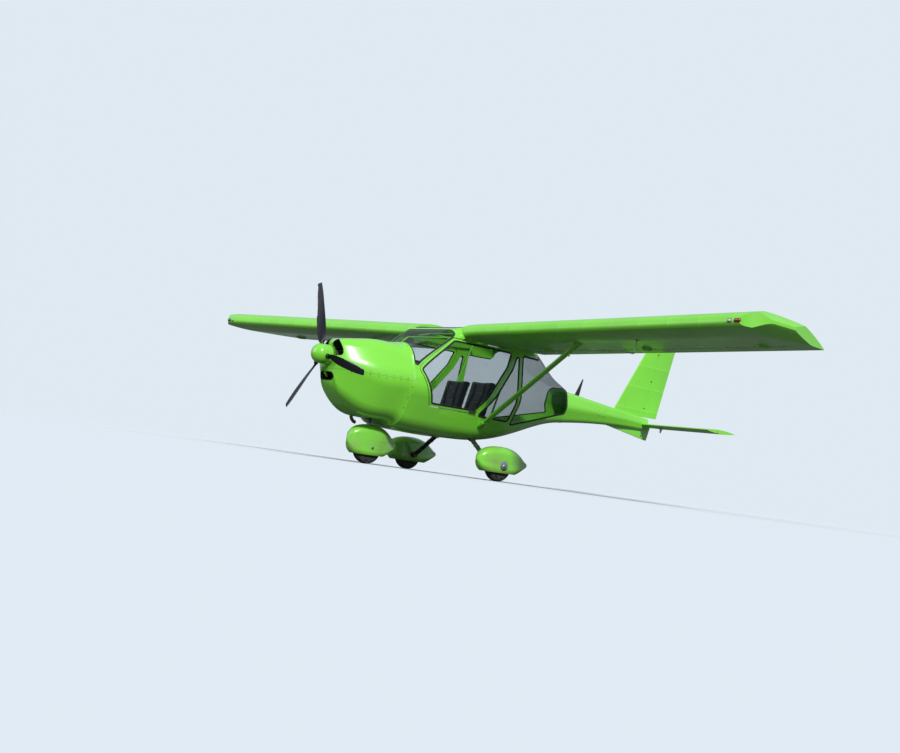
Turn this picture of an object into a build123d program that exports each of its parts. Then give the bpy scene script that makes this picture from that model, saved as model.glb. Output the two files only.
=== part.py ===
"""A two-seat high-wing microlight aircraft with a tractor propeller, standing on its three wheels.

Millimetres. +Z is up, -Y is forward, +X is the pilot's left (port). The origin is on the ground,
below the middle of the aircraft's box. The cabin, cowling and glazing are thin shells of one
lofted pod; the wing, its full-span flaperons and the tail surfaces are solid.
"""
from build123d import *

import os
from math import cos, radians, sin, tan

os.makedirs("parts", exist_ok=True)

# Overall; far is beyond the whole aircraft
half_span = 4775
far = 5000
tail_height = 2400
seat_fit = 0.3

# Wing
chord = 1400
wing_root_x = 540
wing_in_x = 470
wing_le_y = -1400
wing_le_z = 1690
wing_sweep = -2.3
wing_dihedral = 1.5
wing_incidence = 2.0
tip_corner_r = 320
tip_rake = 180
tip_round = 260
tip_half_t = 14
flap_hinge_share = 0.80
flap_hinge_height = 0.021
flap_nose_r = 47
flap_gap = 9
flap_in_x = 640
flap_out_x = 4430
flap_end_gap = 9
flap_up = 20
flap_down = 25
flap_arm_xs = (980, 2560, 4140)
flap_hub_r = 14
lip_spare = 6
panel_split = 1

# Hinge arms of the control surfaces: a flat arm with a pin through it, in a slot of the surface
arm_t = 8
arm_slot = 22
pin_r = 4
pin_fit = 0.6
pin_grip = 12

# Fuselage shells
hull_wall = 18
cowl_wall = 6
glass_wall = 4
glass_fit = 0.4
cowl_front_y = -2890
firewall_y = -2060
firewall_t = 4
firewall_fit = 1.5
cowl_split_z = 1010
cheek_in_r = 122
cheek_out_r = 205
cheek_low = 2
cheek_high = 74
cheek_corner_r = 22
chin_z = 925
chin_w = 250
chin_h = 92
intake_depth = 160
cowl_floor_z = 400
boom_front_y = 850
boom_end_y = 2600
boom_wall = 8

# Engine
engine_half_w = 220
engine_front_y = -2680
engine_rear_y = -2240
engine_low_z = 915
engine_high_z = 1245
exhaust_x = -190
exhaust_y = -2330
exhaust_r = 20
exhaust_wall = 2
exhaust_bend_z = 545
exhaust_room = 10
radiator_front_y = -2765
radiator_z = 868
radiator_t = 40

# Doors
door_gap = 10
door_frame = 30
door_corner_r = 50
door_hinge_x = 540
door_hinge_z = 1602
hinge_ys = (-1400, -780)
hinge_len = 66
knuckle_r = 4
leaf_t = 2.5
leaf_in_x = 500

# Propeller
prop_y = -2985
prop_z = 1160
prop_radius = 850
blade_lean = 17
blade_count = 3
blade_shank_r = 24
spinner_r = 112
spinner_nose = 130
spinner_back = 75
spinner_wall = 3
hub_r = 62
hub_half = 26
shaft_r = 20
gearbox_r = 70
gearbox_len = 245
gearbox_room = 8
shaft_depth = 80

# Wheels and legs
tyre_r = 190
tyre_w = 120
rim_r = 88
rim_w = 90
axle_r = 11
wheel_hub_r = 24
web_half_t = 12
rim_hole_count = 6
rim_hole_r = 9
tow_bore_r = 5.5
run_fit = 0.05
track = 1700
main_wheel_y = -880
nose_wheel_y = -2180
nose_trail = 30
leg_chord = 78
leg_thick = 26
leg_root_x = 250
leg_root_z = 520
leg_foot_x = 705
leg_boss_r = 30
socket_wall = 9
steer_tube_r = 20
steer_room = 20
nose_leg_low = 474
nose_leg_high = 720
nose_leg_arm_zs = (560, 670)

# Wheel fairings
spat_wall = 6
spat_half_w = 110
axle_end = 112
spat_open_z = 105
tyre_clear = 14
nose_spat_rise = 46
nose_spat_stretch = 0.86

# Cabin fittings
seat_in_x = 45
seat_w = 385
panel_t = 30
hood_reach = 25
hood_len = 180
stick_y = -1480
frame_tube_r = 12

# Struts, each with a drilled lug to tie the aircraft down
strut_chord = 80
strut_thick = 32
strut_low = (530, -900, 668)
strut_top_x = 2020
strut_top_share = 0.38
strut_root = 140
tie_share = 0.85
tie_t = 8
tie_r = 6
tie_drop = 40

# Tail
surface_half_t = 26
tail_hub_r = 10
tail_arm_root = 60
stab_z = 1050
stab_half = 1220
stab_le_y = 2410
elev_hinge_y = 2690
elev_te_y = 3050
elev_nose_r = 25
elev_gap = 7
elev_up = 25
elev_down = 20
elev_tube_r = 14
elev_arm_xs = (-1000, -400, 400, 1000)
notch_half_w = 100
rud_low_z = 1160
rud_low_y = 2485
rud_low_chord = 324
rud_top_y = 2750
rud_top_chord = 365
rud_nose_r = 20
rud_gap = 7
rud_angle = 25
rud_arm_reaches = (420, 820, 1220)
fin_root_y = 1840
fin_root_z = 1190
fin_tip_y = 2600
ventral_front = (1780, 960)
ventral_low = (2645, 838)
ventral_rear = (2700, 1030)
ventral_half_t = 12
tail_tie = (2520, 890)
tail_tie_r = 8


def save(part, name):
    """Labels a finished piece and writes it as its own node."""
    part.label = name
    export_step(part, f"parts/{name}.step")


def save_pair(part, name):
    """Writes the port piece and its mirror image."""
    save(part, f"{name}_port")
    save(mirror(part, about=Plane.YZ), f"{name}_starboard")


def cut(base, *tools):
    """What is left of a part when others are taken from it."""
    with BuildPart() as left:
        add(base)
        for tool in tools:
            add(tool, mode=Mode.SUBTRACT)
    return left.part


def common(base, tool):
    """What two parts share."""
    with BuildPart() as shared:
        add(base)
        add(tool, mode=Mode.INTERSECT)
    return shared.part


def joined(*parts):
    """Several parts as one."""
    with BuildPart() as whole:
        for part in parts:
            add(part)
    return whole.part


def block(low, high):
    """A box between two corners."""
    with BuildPart() as made:
        with Locations(tuple((a + b) / 2 for a, b in zip(low, high))):
            Box(*[b - a for a, b in zip(low, high)])
    return made.part


def bar(start, end, radius):
    """A round bar from one point to another."""
    line = Vector(end) - Vector(start)
    with BuildPart() as made:
        with BuildSketch(Plane(origin=start, z_dir=line)):
            Circle(radius)
        extrude(amount=line.length)
    return made.part


def station(y):
    """A plane across the fuselage: local x is +X and local y is +Z."""
    return Plane(origin=(0, y, 0), x_dir=(1, 0, 0), z_dir=(0, -1, 0))


def side_area(points, corner_r, grow=0):
    """A rounded polygon as it is seen from the side: local x runs aft and local y up."""
    with BuildSketch() as area:
        with BuildLine():
            Polyline(*points, close=True)
        make_face()
        fillet(area.vertices(), corner_r)
        if grow:
            offset(amount=grow, kind=Kind.ARC, mode=Mode.REPLACE)
    return area.sketch


def side_block(points, corner_r, grow=0, x_from=-900, x_to=900):
    """The same polygon as a block across the cabin."""
    area = side_area(points, corner_r, grow)
    with BuildPart() as made:
        with BuildSketch(Plane.YZ.offset(x_from)):
            add(area)
        extrude(amount=x_to - x_from)
    return made.part


# Pod sections from the nose to the boom: half widths and heights of the belly, waist and roof
# corners, then the radii of those corners.
pod_table = [
    # y, belly_w, belly_z, waist_w, waist_z, roof_w, roof_z, belly_r, waist_r, roof_r
    (cowl_front_y, 85, 880, 165, 1120, 110, 1300, 70, 130, 90),
    (-2850, 125, 800, 232, 1085, 150, 1345, 95, 170, 120),
    (-2750, 180, 700, 325, 1065, 200, 1375, 140, 210, 155),
    (-2600, 245, 600, 430, 1045, 250, 1400, 185, 250, 190),
    (-2360, 310, 530, 530, 1010, 320, 1425, 225, 275, 235),
    (firewall_y, 360, 475, 600, 980, 410, 1450, 245, 290, 250),
    (-1650, 385, 440, 628, 960, 465, 1610, 255, 300, 200),
    (-1250, 390, 432, 636, 950, 505, 1770, 255, 300, 110),
    (-800, 375, 455, 627, 960, 508, 1795, 250, 300, 100),
    (-300, 325, 560, 562, 1010, 480, 1755, 225, 290, 130),
    (200, 240, 720, 415, 1060, 350, 1560, 180, 250, 150),
    (560, 165, 820, 278, 1080, 230, 1395, 130, 190, 120),
    (boom_front_y, 120, 868, 205, 1080, 140, 1288, 95, 150, 100),
]

# Tail boom sections, with the same columns.
boom_table = [
    pod_table[-1],
    (1800, 80, 955, 120, 1080, 90, 1205, 55, 92, 60),
    (boom_end_y, 45, 975, 62, 1060, 48, 1140, 35, 52, 35),
]


def pod_profile(row, inset=0):
    """One cross-section of the pod: a hexagon with rounded corners, or its inset copy."""
    _, belly_w, belly_z, waist_w, waist_z, roof_w, roof_z, belly_r, waist_r, roof_r = row
    with BuildSketch() as profile:
        with BuildLine():
            Polyline(
                (-belly_w, belly_z), (belly_w, belly_z), (waist_w, waist_z),
                (roof_w, roof_z), (-roof_w, roof_z), (-waist_w, waist_z), close=True,
            )
        make_face()
        if inset:
            offset(amount=-inset, kind=Kind.INTERSECTION, mode=Mode.REPLACE)
        heights = [group[0].Y for group in profile.vertices().group_by(Axis.Y)]
        for height, corner_r in zip(heights, (belly_r, waist_r, roof_r)):
            corners = profile.vertices().filter_by_position(Axis.Y, height - 1, height + 1)
            fillet(corners, corner_r - inset)
    return profile.sketch


def pod_loft(rows, inset=0):
    """The pod, or a smaller or larger copy of it, between the first and last of its rows."""
    profiles = [pod_profile(row, inset) for row in rows]
    with BuildPart() as body:
        for row, profile in zip(rows, profiles):
            with BuildSketch(station(row[0])):
                add(profile)
        loft()
    return body.part


def pod_slab(row, thickness):
    """One section of the pod as a flat plate that runs aft of its station, or forward if negative."""
    profile = pod_profile(row)
    with BuildPart() as slab:
        with BuildSketch(station(row[0])):
            add(profile)
        extrude(amount=-thickness)
    return slab.part


print("pod")
firewall_row = [row[0] for row in pod_table].index(firewall_y)
cowl_rows = pod_table[:firewall_row + 1]
cabin_rows = pod_table[firewall_row:]
cowl_shell = cut(pod_loft(cowl_rows), pod_loft(cowl_rows, cowl_wall))
cabin_outer = pod_loft(cabin_rows)
cabin_hull = cut(cabin_outer, pod_loft(cabin_rows, hull_wall))
cabin_skin = cut(cabin_outer, pod_loft(cabin_rows, glass_wall))
cabin_clear = pod_loft(cabin_rows, -seat_fit)
cabin_room = pod_loft(cabin_rows, hull_wall + seat_fit)

# Windows and doors, seen from the side
door_outline = [(-1985, 1165), (-1770, 760), (-1085, 760), (-640, 1365), (-560, 1592), (-1520, 1592)]
screen_outline = [(-2040, 1170), (-1535, 1600), (-1495, 1640), (-1495, 2000), (-2040, 2000)]
pane_outline = [(-1030, 735), (-455, 735), (-455, 1530), (-500, 1530), (-570, 1365)]
rear_outline = [(-385, 700), (800, 985), (800, 2000), (-40, 2000), (-40, 1560), (-385, 1560)]
roof_half_w = 395
roof_front_y = -1395
roof_rear_y = -100
roof_window_z = 1650
window_r = 25


def roof_block(grow=0):
    """The roof window as a block from above."""
    with BuildPart() as made:
        with BuildSketch(Plane.XY.offset(roof_window_z)):
            with Locations((0, (roof_front_y + roof_rear_y) / 2)):
                RectangleRounded(
                    2 * (roof_half_w + grow), roof_rear_y - roof_front_y + 2 * grow, window_r + grow
                )
        extrude(amount=300)
    return made.part


def cheek_slot(side):
    """A crescent beside the spinner, seen from the front."""
    start = cheek_low if side > 0 else 180 - cheek_high
    size = cheek_high - cheek_low
    with BuildSketch() as crescent:
        with BuildLine():
            outer = CenterArc((0, prop_z), cheek_out_r, start, size)
            inner = CenterArc((0, prop_z), cheek_in_r, start, size)
            Line(outer @ 0, inner @ 0)
            Line(outer @ 1, inner @ 1)
        make_face()
        fillet(crescent.vertices(), cheek_corner_r)
    return crescent.sketch


print("cowling")
crescents = [cheek_slot(side) for side in (-1, 1)]
steer_y = nose_wheel_y - nose_trail
with BuildPart() as cowl:
    add(cowl_shell)
    add(pod_slab(cowl_rows[0], cowl_wall))
    with BuildSketch(station(cowl_front_y)):
        with Locations((0, prop_z)):
            Circle(gearbox_r + gearbox_room)
        with Locations((0, chin_z)):
            SlotOverall(chin_w, chin_h)
        for crescent in crescents:
            add(crescent)
    extrude(amount=-intake_depth, mode=Mode.SUBTRACT)
    with BuildSketch(Plane.XY.offset(cowl_floor_z)):
        with Locations((0, steer_y)):
            Circle(steer_tube_r + steer_room)
        with Locations((exhaust_x, exhaust_y)):
            Circle(exhaust_r + exhaust_room)
    extrude(amount=200, mode=Mode.SUBTRACT)
above_split = block((-far, -far, cowl_split_z + panel_split), (far, far, far))
below_split = block((-far, -far, -far), (far, far, cowl_split_z - panel_split))
save(common(cowl.part, above_split), "cowl_upper")
save(common(cowl.part, below_split), "cowl_lower")

# The firewall closes the cowl's inner form just ahead of the cabin.
firewall_slab = block((-far, firewall_y - firewall_t, 0), (far, firewall_y, far))
save(common(pod_loft(cowl_rows, cowl_wall + firewall_fit), firewall_slab), "firewall")

with BuildPart() as exhaust:
    with BuildLine() as exhaust_path:
        down = Line((exhaust_x, exhaust_y, engine_low_z), (exhaust_x, exhaust_y, exhaust_bend_z))
        TangentArc(down @ 1, (exhaust_x, exhaust_y + 70, exhaust_bend_z - 82), tangent=down % 1)
    with BuildSketch(Plane(origin=(exhaust_x, exhaust_y, engine_low_z), z_dir=(0, 0, -1))):
        Circle(exhaust_r)
        Circle(exhaust_r - exhaust_wall, mode=Mode.SUBTRACT)
    sweep(path=exhaust_path.wires()[0])
save(exhaust.part, "exhaust")

radiator_rear_y = radiator_front_y + radiator_t
with BuildPart() as radiator:
    with BuildSketch(station(radiator_front_y)):
        with Locations((0, radiator_z)):
            RectangleRounded(280, 150, 12)
    extrude(amount=-radiator_t)
    with BuildSketch(station(radiator_rear_y)):
        with Locations((-100, engine_low_z + 15), (100, engine_low_z + 15)):
            Rectangle(20, 20)
    extrude(amount=-(engine_front_y - radiator_rear_y))
save(radiator.part, "radiator")

print("cabin")
openings = [
    side_block(screen_outline, window_r), side_block(pane_outline, window_r),
    side_block(rear_outline, window_r), roof_block(), side_block(door_outline, door_corner_r, door_gap),
]
save(cut(cabin_hull, *openings), "cabin_shell")
save(common(cabin_skin, side_block(screen_outline, window_r, -glass_fit)), "windscreen")
save(common(cabin_skin, roof_block(-glass_fit)), "roof_window")
save(common(cabin_skin, side_block(rear_outline, window_r, -glass_fit)), "rear_window")
save_pair(common(cabin_skin, side_block(pane_outline, window_r, -glass_fit, 0)), "side_window")

print("doors")
door_panel = common(cabin_hull, side_block(door_outline, door_corner_r, 0, 0))
save_pair(cut(door_panel, side_block(door_outline, door_corner_r, -door_frame, 0)), "door_frame")
door_pane = side_block(door_outline, door_corner_r, -door_frame - glass_fit, 0)
save_pair(common(cabin_skin, door_pane), "door_window")


def hinge_bar(y_from, y_to, radius):
    """A round bar on the door's hinge axis."""
    return bar((door_hinge_x, y_from, door_hinge_z), (door_hinge_x, y_to, door_hinge_z), radius)


door_top = max(point[1] for point in door_outline)
fixed_low_z = door_hinge_z - leaf_t
fixed_high_z = door_hinge_z - seat_fit
moving_low_z = door_top + seat_fit
fixed_parts = []
moving_parts = []
for y in hinge_ys:
    first, second, last = y + hinge_len / 3, y + 2 * hinge_len / 3, y + hinge_len
    fixed_parts += [
        hinge_bar(y, first, knuckle_r), hinge_bar(second, last, knuckle_r), hinge_bar(y, last, knuckle_r / 2),
        block((leaf_in_x, y, fixed_low_z), (door_hinge_x, first, fixed_high_z)),
        block((leaf_in_x, second, fixed_low_z), (door_hinge_x, last, fixed_high_z)),
    ]
    leaf = joined(
        hinge_bar(first + 1, second - 1, knuckle_r),
        block((leaf_in_x, y, moving_low_z), (door_hinge_x, last, door_top + leaf_t)),
        block((door_hinge_x - 2, first + 1, moving_low_z), (door_hinge_x + 2, second - 1, door_hinge_z)),
    )
    moving_parts.append(cut(leaf, hinge_bar(y, last, knuckle_r / 2 + 2 * run_fit)))
save_pair(joined(*fixed_parts), "hinge_plate")
save_pair(joined(*moving_parts), "door_hinge")

print("boom")
boom_clear = pod_loft(boom_table, -seat_fit)
boom_tube = cut(pod_loft(boom_table), pod_loft(boom_table, boom_wall))
save(joined(boom_tube, pod_slab(boom_table[-1], -boom_wall)), "tail_boom")


def ray(hinge, angle, reach):
    """A point at some reach from a hinge, at an angle from straight up towards the front."""
    return (hinge[0] - reach * sin(radians(angle)), hinge[1] + reach * cos(radians(angle)))


def cove(hinge, nose_r, gap, up, down, reach=700):
    """The room that a control surface's round nose and its travel need in what carries it."""
    with BuildSketch() as room:
        with BuildLine():
            Polyline(
                hinge, ray(hinge, up + lip_spare, reach), (hinge[0] + reach, hinge[1] + reach),
                (hinge[0] + reach, hinge[1] - reach), ray(hinge, 180 - down - lip_spare, reach), close=True,
            )
        make_face()
        with Locations(hinge):
            Circle(nose_r + gap)
    return room.sketch


def surface(profile, hinge, nose_r, reach=900):
    """The part of a profile behind its hinge, with a round nose."""
    with BuildSketch() as moving:
        with Locations(hinge):
            Circle(nose_r)
            Rectangle(reach, reach, align=(Align.MIN, Align.CENTER))
        add(profile, mode=Mode.INTERSECT)
    return moving.sketch


def arm_area(hinge, hub_r, root):
    """A hinge arm seen from the side: an eye round the hinge and a polygon that runs into its root."""
    with BuildSketch() as area:
        with BuildLine():
            Polyline((hinge[0], hinge[1] + hub_r), *root, (hinge[0], hinge[1] - hub_r), close=True)
        make_face()
        with Locations(hinge):
            Circle(hub_r)
            Circle(pin_r + pin_fit, mode=Mode.SUBTRACT)
    return area.sketch


def slot_area(hinge, nose_r, hub_r):
    """What is cut from a control surface's nose to let the arm in."""
    with BuildSketch() as area:
        with Locations((hinge[0] - nose_r - 5, hinge[1])):
            Rectangle(nose_r + 5 + hub_r + 7, 2 * nose_r + 40, align=(Align.MIN, Align.CENTER))
    return area.sketch


def pin_area(hinge):
    """The hinge pin's section."""
    with BuildSketch() as area:
        with Locations(hinge):
            Circle(pin_r)
    return area.sketch


print("wing")
with BuildSketch() as airfoil:
    with BuildLine():
        nose_top = TangentArc((0, 0), (0.035 * chord, 0.055 * chord), tangent=(0, 1))
        crown = TangentArc(nose_top @ 1, (0.33 * chord, 0.115 * chord), tangent=nose_top % 1)
        back = TangentArc(crown @ 1, (chord, 0.003 * chord), tangent=crown % 1)
        Line(back @ 1, (chord, 0))
        nose_low = TangentArc((0, 0), (0.03 * chord, -0.0345 * chord), tangent=(0, -1))
        belly = TangentArc(nose_low @ 1, (0.35 * chord, -0.045 * chord), tangent=nose_low % 1)
        Line(belly @ 1, (chord, 0))
    make_face()
flap_hinge = (flap_hinge_share * chord, flap_hinge_height * chord)
sweep_step = tan(radians(wing_sweep))
rise_step = tan(radians(wing_dihedral))
wing_dir = Vector(1, sweep_step, rise_step)


def edge_y(x):
    """Where the leading edge is at x."""
    return wing_le_y + (x - wing_root_x) * sweep_step


def edge_z(x):
    return wing_le_z + (x - wing_root_x) * rise_step


def wing_plane(x):
    """The plane of the wing's section at x: local x runs aft along the chord."""
    drop = radians(wing_incidence)
    return Plane(origin=(x, edge_y(x), edge_z(x)), x_dir=(0, cos(drop), -sin(drop)), z_dir=(1, 0, 0))


def wing_prism(profile, x_from, x_to):
    """A section swept along the wing from one rib to another."""
    with BuildPart() as prism:
        with BuildSketch(wing_plane(x_from)):
            add(profile)
        extrude(amount=(x_to - x_from) * wing_dir.length, dir=wing_dir)
    return prism.part


with BuildPart() as planform:
    with BuildSketch() as outline:
        with BuildLine():
            Polyline(
                (wing_in_x - 50, edge_y(0) - 400), (half_span, edge_y(half_span) - 2),
                (half_span, edge_y(half_span) + 0.45 * chord),
                (half_span - tip_rake, edge_y(half_span) + chord + 10), (wing_in_x - 50, 400), close=True,
            )
        make_face()
        fillet(outline.vertices().group_by(Axis.X)[-1].sort_by(Axis.Y)[0], tip_corner_r)
    extrude(amount=far)

# Seen from the front, the tip's upper and lower faces curve in to a thin edge.
tip_in_x = half_span - tip_round
tip_mid_z = edge_z(half_span) + 0.02 * chord
tip_high_z = edge_z(half_span) + 0.115 * chord
tip_low_z = edge_z(half_span) - 0.07 * chord
with BuildPart() as front_form:
    with BuildSketch(station(-far)):
        with BuildLine():
            Polyline(
                (tip_in_x, tip_high_z), (tip_in_x, far), (0, far), (0, 0), (tip_in_x, 0),
                (tip_in_x, tip_low_z),
            )
            ThreePointArc(
                (tip_in_x, tip_low_z),
                (half_span - 0.35 * tip_round, tip_low_z + 0.32 * (tip_mid_z - tip_low_z)),
                (half_span, tip_mid_z - tip_half_t),
            )
            Line((half_span, tip_mid_z - tip_half_t), (half_span, tip_mid_z + tip_half_t))
            ThreePointArc(
                (half_span, tip_mid_z + tip_half_t),
                (half_span - 0.35 * tip_round, tip_high_z - 0.32 * (tip_high_z - tip_mid_z)),
                (tip_in_x, tip_high_z),
            )
        make_face()
    extrude(amount=-2 * far)
flap_arm = arm_area(
    flap_hinge, flap_hub_r, [(1040, 30), (900, 10), (900, -30), (960, -60), (1060, -50), (1100, -20)],
)
arm_plates = [wing_prism(flap_arm, x, x + arm_t) for x in flap_arm_xs]
flap_room = wing_prism(
    cove(flap_hinge, flap_nose_r, flap_gap, flap_up, flap_down), flap_in_x - flap_end_gap,
    flap_out_x + flap_end_gap,
)
wing_body = common(common(wing_prism(airfoil.sketch, wing_in_x, half_span), planform.part), front_form.part)
wing = joined(cut(wing_body, flap_room, cabin_clear), *arm_plates)
save_pair(wing, "wing")

flap_slot = slot_area(flap_hinge, flap_nose_r, flap_hub_r)
side_room = (arm_slot - arm_t) / 2
flap_slots = [wing_prism(flap_slot, x - side_room, x + arm_t + side_room) for x in flap_arm_xs]


def flap_axis(x):
    """The point of the flaperon's hinge line at x."""
    return wing_plane(x).from_local_coords(Vector(*flap_hinge, 0))


flap_pins = [
    bar(flap_axis(x - side_room - pin_grip), flap_axis(x + arm_t + side_room + pin_grip), pin_r)
    for x in flap_arm_xs
]
flap_body = wing_prism(surface(airfoil.sketch, flap_hinge, flap_nose_r), flap_in_x, flap_out_x)
flaperon = joined(cut(flap_body, *flap_slots), *flap_pins)
save_pair(flaperon, "flaperon")
print("wing", wing.is_valid, len(wing.solids()), "flaperon", flaperon.is_valid, len(flaperon.solids()))

print("struts")
strut_top = wing_plane(strut_top_x).from_local_coords(Vector(strut_top_share * chord, -0.01 * chord, 0))
strut_line = strut_top - Vector(strut_low)
strut_start = Vector(strut_low) - strut_line.normalized() * strut_root
tie_point = Vector(strut_low) + strut_line * tie_share
tie_plane = Plane(origin=tie_point - Vector(0, tie_t / 2, 0), x_dir=strut_line, z_dir=(0, 1, 0))
with BuildPart() as strut:
    with BuildSketch(Plane(origin=strut_start, x_dir=(0, 1, 0), z_dir=strut_line)):
        SlotOverall(strut_chord, strut_thick)
    extrude(amount=strut_line.length + strut_root)
    with BuildSketch(tie_plane):
        with BuildLine():
            Polyline((-40, 0), (40, 0), (tie_r * 2, tie_drop), (-tie_r * 2, tie_drop), close=True)
        make_face()
        with Locations((0, tie_drop)):
            Circle(tie_r * 2)
    extrude(amount=tie_t)
    with BuildSketch(tie_plane):
        with Locations((0, tie_drop)):
            Circle(tie_r)
    extrude(amount=tie_t, mode=Mode.SUBTRACT)
tie_centre = tie_plane.from_local_coords(Vector(0, tie_drop, tie_t / 2))
print("tie-down hole", tie_centre)
with BuildSketch() as airfoil_clear:
    add(airfoil.sketch)
    offset(amount=seat_fit, kind=Kind.INTERSECTION)
wing_clear = wing_prism(airfoil_clear.sketch, strut_top_x - 300, strut_top_x + 300)
save_pair(cut(strut.part, wing_clear, cabin_clear), "strut")

print("tail")


def lens(front, rear, half_t, nose_r=8, edge_r=1.2):
    """A thin symmetric section from front to rear along local x."""
    middle = (front + rear) / 2
    with BuildSketch() as section:
        with BuildLine():
            ThreePointArc((front, 0), (middle, half_t), (rear, 0))
            ThreePointArc((front, 0), (middle, -half_t), (rear, 0))
        make_face()
        ends = section.vertices().sort_by(Axis.X)
        fillet(ends[0], nose_r)
        fillet(ends[-1], edge_r)
    return section.sketch


def on_slope(low, high, z):
    """The y of a slanting line through two points, at height z."""
    return low[0] + (high[0] - low[0]) * (z - low[1]) / (high[1] - low[1])


hinge_low = (rud_low_y, rud_low_z)
hinge_high = (rud_top_y, tail_height)
fin_base_z = 1060
fin_ends = []
for z in (fin_base_z, tail_height):
    front = on_slope((fin_root_y, fin_root_z), (fin_tip_y, tail_height), z)
    rear = on_slope((rud_low_y + rud_low_chord, rud_low_z), (rud_top_y + rud_top_chord, tail_height), z)
    fin_ends.append((z, lens(front, rear, surface_half_t)))
with BuildPart() as fin_form:
    for z, section in fin_ends:
        with BuildSketch(Plane(origin=(0, 0, z), x_dir=(0, 1, 0), z_dir=(0, 0, 1))):
            add(section)
    loft(ruled=True)
hinge_base_z = fin_base_z - 200
rudder_plane = Plane(
    origin=(0, on_slope(hinge_low, hinge_high, hinge_base_z), hinge_base_z), x_dir=(0, 1, 0),
    z_dir=(0, hinge_high[0] - hinge_low[0], hinge_high[1] - hinge_low[1]),
)
axis_point = (0, 0)


def rudder_prism(profile, low, high):
    """A section swept along the rudder's slanting hinge, between two distances from its foot."""
    with BuildPart() as prism:
        with BuildSketch(rudder_plane.offset(low)):
            add(profile)
        extrude(amount=high - low)
    return prism.part


with BuildSketch() as rudder_area:
    Circle(rud_nose_r)
    Rectangle(900, 900, align=(Align.MIN, Align.CENTER))
tail_arm = arm_area(axis_point, tail_hub_r, [(-tail_arm_root, 7), (-tail_arm_root, -7)])
rudder_room = rudder_prism(cove(axis_point, rud_nose_r, rud_gap, rud_angle, rud_angle), 0, 2000)
rudder_arms = [rudder_prism(tail_arm, reach, reach + arm_t) for reach in rud_arm_reaches]
rudder_slots = [
    rudder_prism(slot_area(axis_point, rud_nose_r, tail_hub_r), reach - side_room, reach + arm_t + side_room)
    for reach in rud_arm_reaches
]
rudder_pins = [
    rudder_prism(pin_area(axis_point), reach - side_room - pin_grip, reach + arm_t + side_room + pin_grip)
    for reach in rud_arm_reaches
]
above = block((-far, 0, rud_low_z), (far, far, far))
rudder_body = common(common(fin_form.part, rudder_prism(rudder_area.sketch, 0, 2000)), above)
fin = joined(cut(fin_form.part, rudder_room, boom_clear), *rudder_arms)
rudder = joined(cut(rudder_body, *rudder_slots), *rudder_pins)
save(fin, "fin")
save(rudder, "rudder")
print("fin", fin.is_valid, len(fin.solids()), "rudder", rudder.is_valid, len(rudder.solids()))

stab_profile = lens(stab_le_y, elev_te_y, surface_half_t)
elev_hinge = (elev_hinge_y, 0)


def tail_plank(profile, x_from, x_to):
    """A section of the tailplane swept from one x to another."""
    with BuildPart() as plank:
        with BuildSketch(Plane(origin=(x_from, 0, stab_z), x_dir=(0, 1, 0), z_dir=(1, 0, 0))):
            add(profile)
        extrude(amount=x_to - x_from)
    return plank.part


with BuildSketch() as stab_area:
    add(stab_profile)
    add(cove(elev_hinge, elev_nose_r, elev_gap, elev_up, elev_down), mode=Mode.SUBTRACT)
elev_arm_front = elev_hinge_y - tail_arm_root
elev_arm = arm_area(elev_hinge, tail_hub_r, [(elev_arm_front, 7), (elev_arm_front, -7)])
elev_slot = slot_area(elev_hinge, elev_nose_r, tail_hub_r)
elev_arms = [tail_plank(elev_arm, x - arm_t / 2, x + arm_t / 2) for x in elev_arm_xs]
elev_slots = [tail_plank(elev_slot, x - arm_slot / 2, x + arm_slot / 2) for x in elev_arm_xs]
elev_pin_half = arm_slot / 2 + pin_grip
elev_pins = [tail_plank(pin_area(elev_hinge), x - elev_pin_half, x + elev_pin_half) for x in elev_arm_xs]
notch = block((-notch_half_w, boom_end_y, 0), (notch_half_w, far, far))
tube_half = notch_half_w + 30
tube = bar((-tube_half, elev_hinge_y, stab_z), (tube_half, elev_hinge_y, stab_z), elev_tube_r)
elev_body = tail_plank(surface(stab_profile, elev_hinge, elev_nose_r), -stab_half, stab_half)
tailplane = joined(cut(tail_plank(stab_area.sketch, -stab_half, stab_half), boom_clear), *elev_arms)
elevator = joined(cut(elev_body, notch, *elev_slots), tube, *elev_pins)
save(tailplane, "tailplane")
save(elevator, "elevator")
print("tailplane", len(tailplane.solids()), "elevator", len(elevator.solids()))

with BuildPart() as ventral:
    with BuildSketch(Plane.YZ.offset(-ventral_half_t)):
        with BuildLine():
            Polyline(ventral_front, ventral_low, ventral_rear, (ventral_front[0], ventral_rear[1]), close=True)
        make_face()
        with Locations(tail_tie):
            Circle(tail_tie_r, mode=Mode.SUBTRACT)
    extrude(amount=2 * ventral_half_t)
stab_clear = tail_plank(lens(stab_le_y, elev_te_y, surface_half_t + 2), -300, 300)
save(cut(ventral.part, boom_clear, stab_clear), "ventral_fin")

print("engine and propeller")
crankcase = block(
    (-engine_half_w, engine_front_y, engine_low_z), (engine_half_w, engine_rear_y, engine_high_z),
)
with BuildPart() as engine:
    add(crankcase)
    with BuildSketch(station(engine_rear_y)):
        with Locations((-170, 970), (170, 970), (-170, 1190), (170, 1190)):
            Circle(14)
    extrude(amount=-(firewall_y - firewall_t - seat_fit - engine_rear_y))
    with BuildSketch(station(engine_front_y)):
        with Locations((0, prop_z)):
            Circle(gearbox_r)
    extrude(amount=gearbox_len)
    with BuildSketch(station(engine_front_y - gearbox_len)):
        with Locations((0, prop_z)):
            Circle(shaft_r + run_fit)
    extrude(amount=-shaft_depth, mode=Mode.SUBTRACT)
save(engine.part, "engine")

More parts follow.
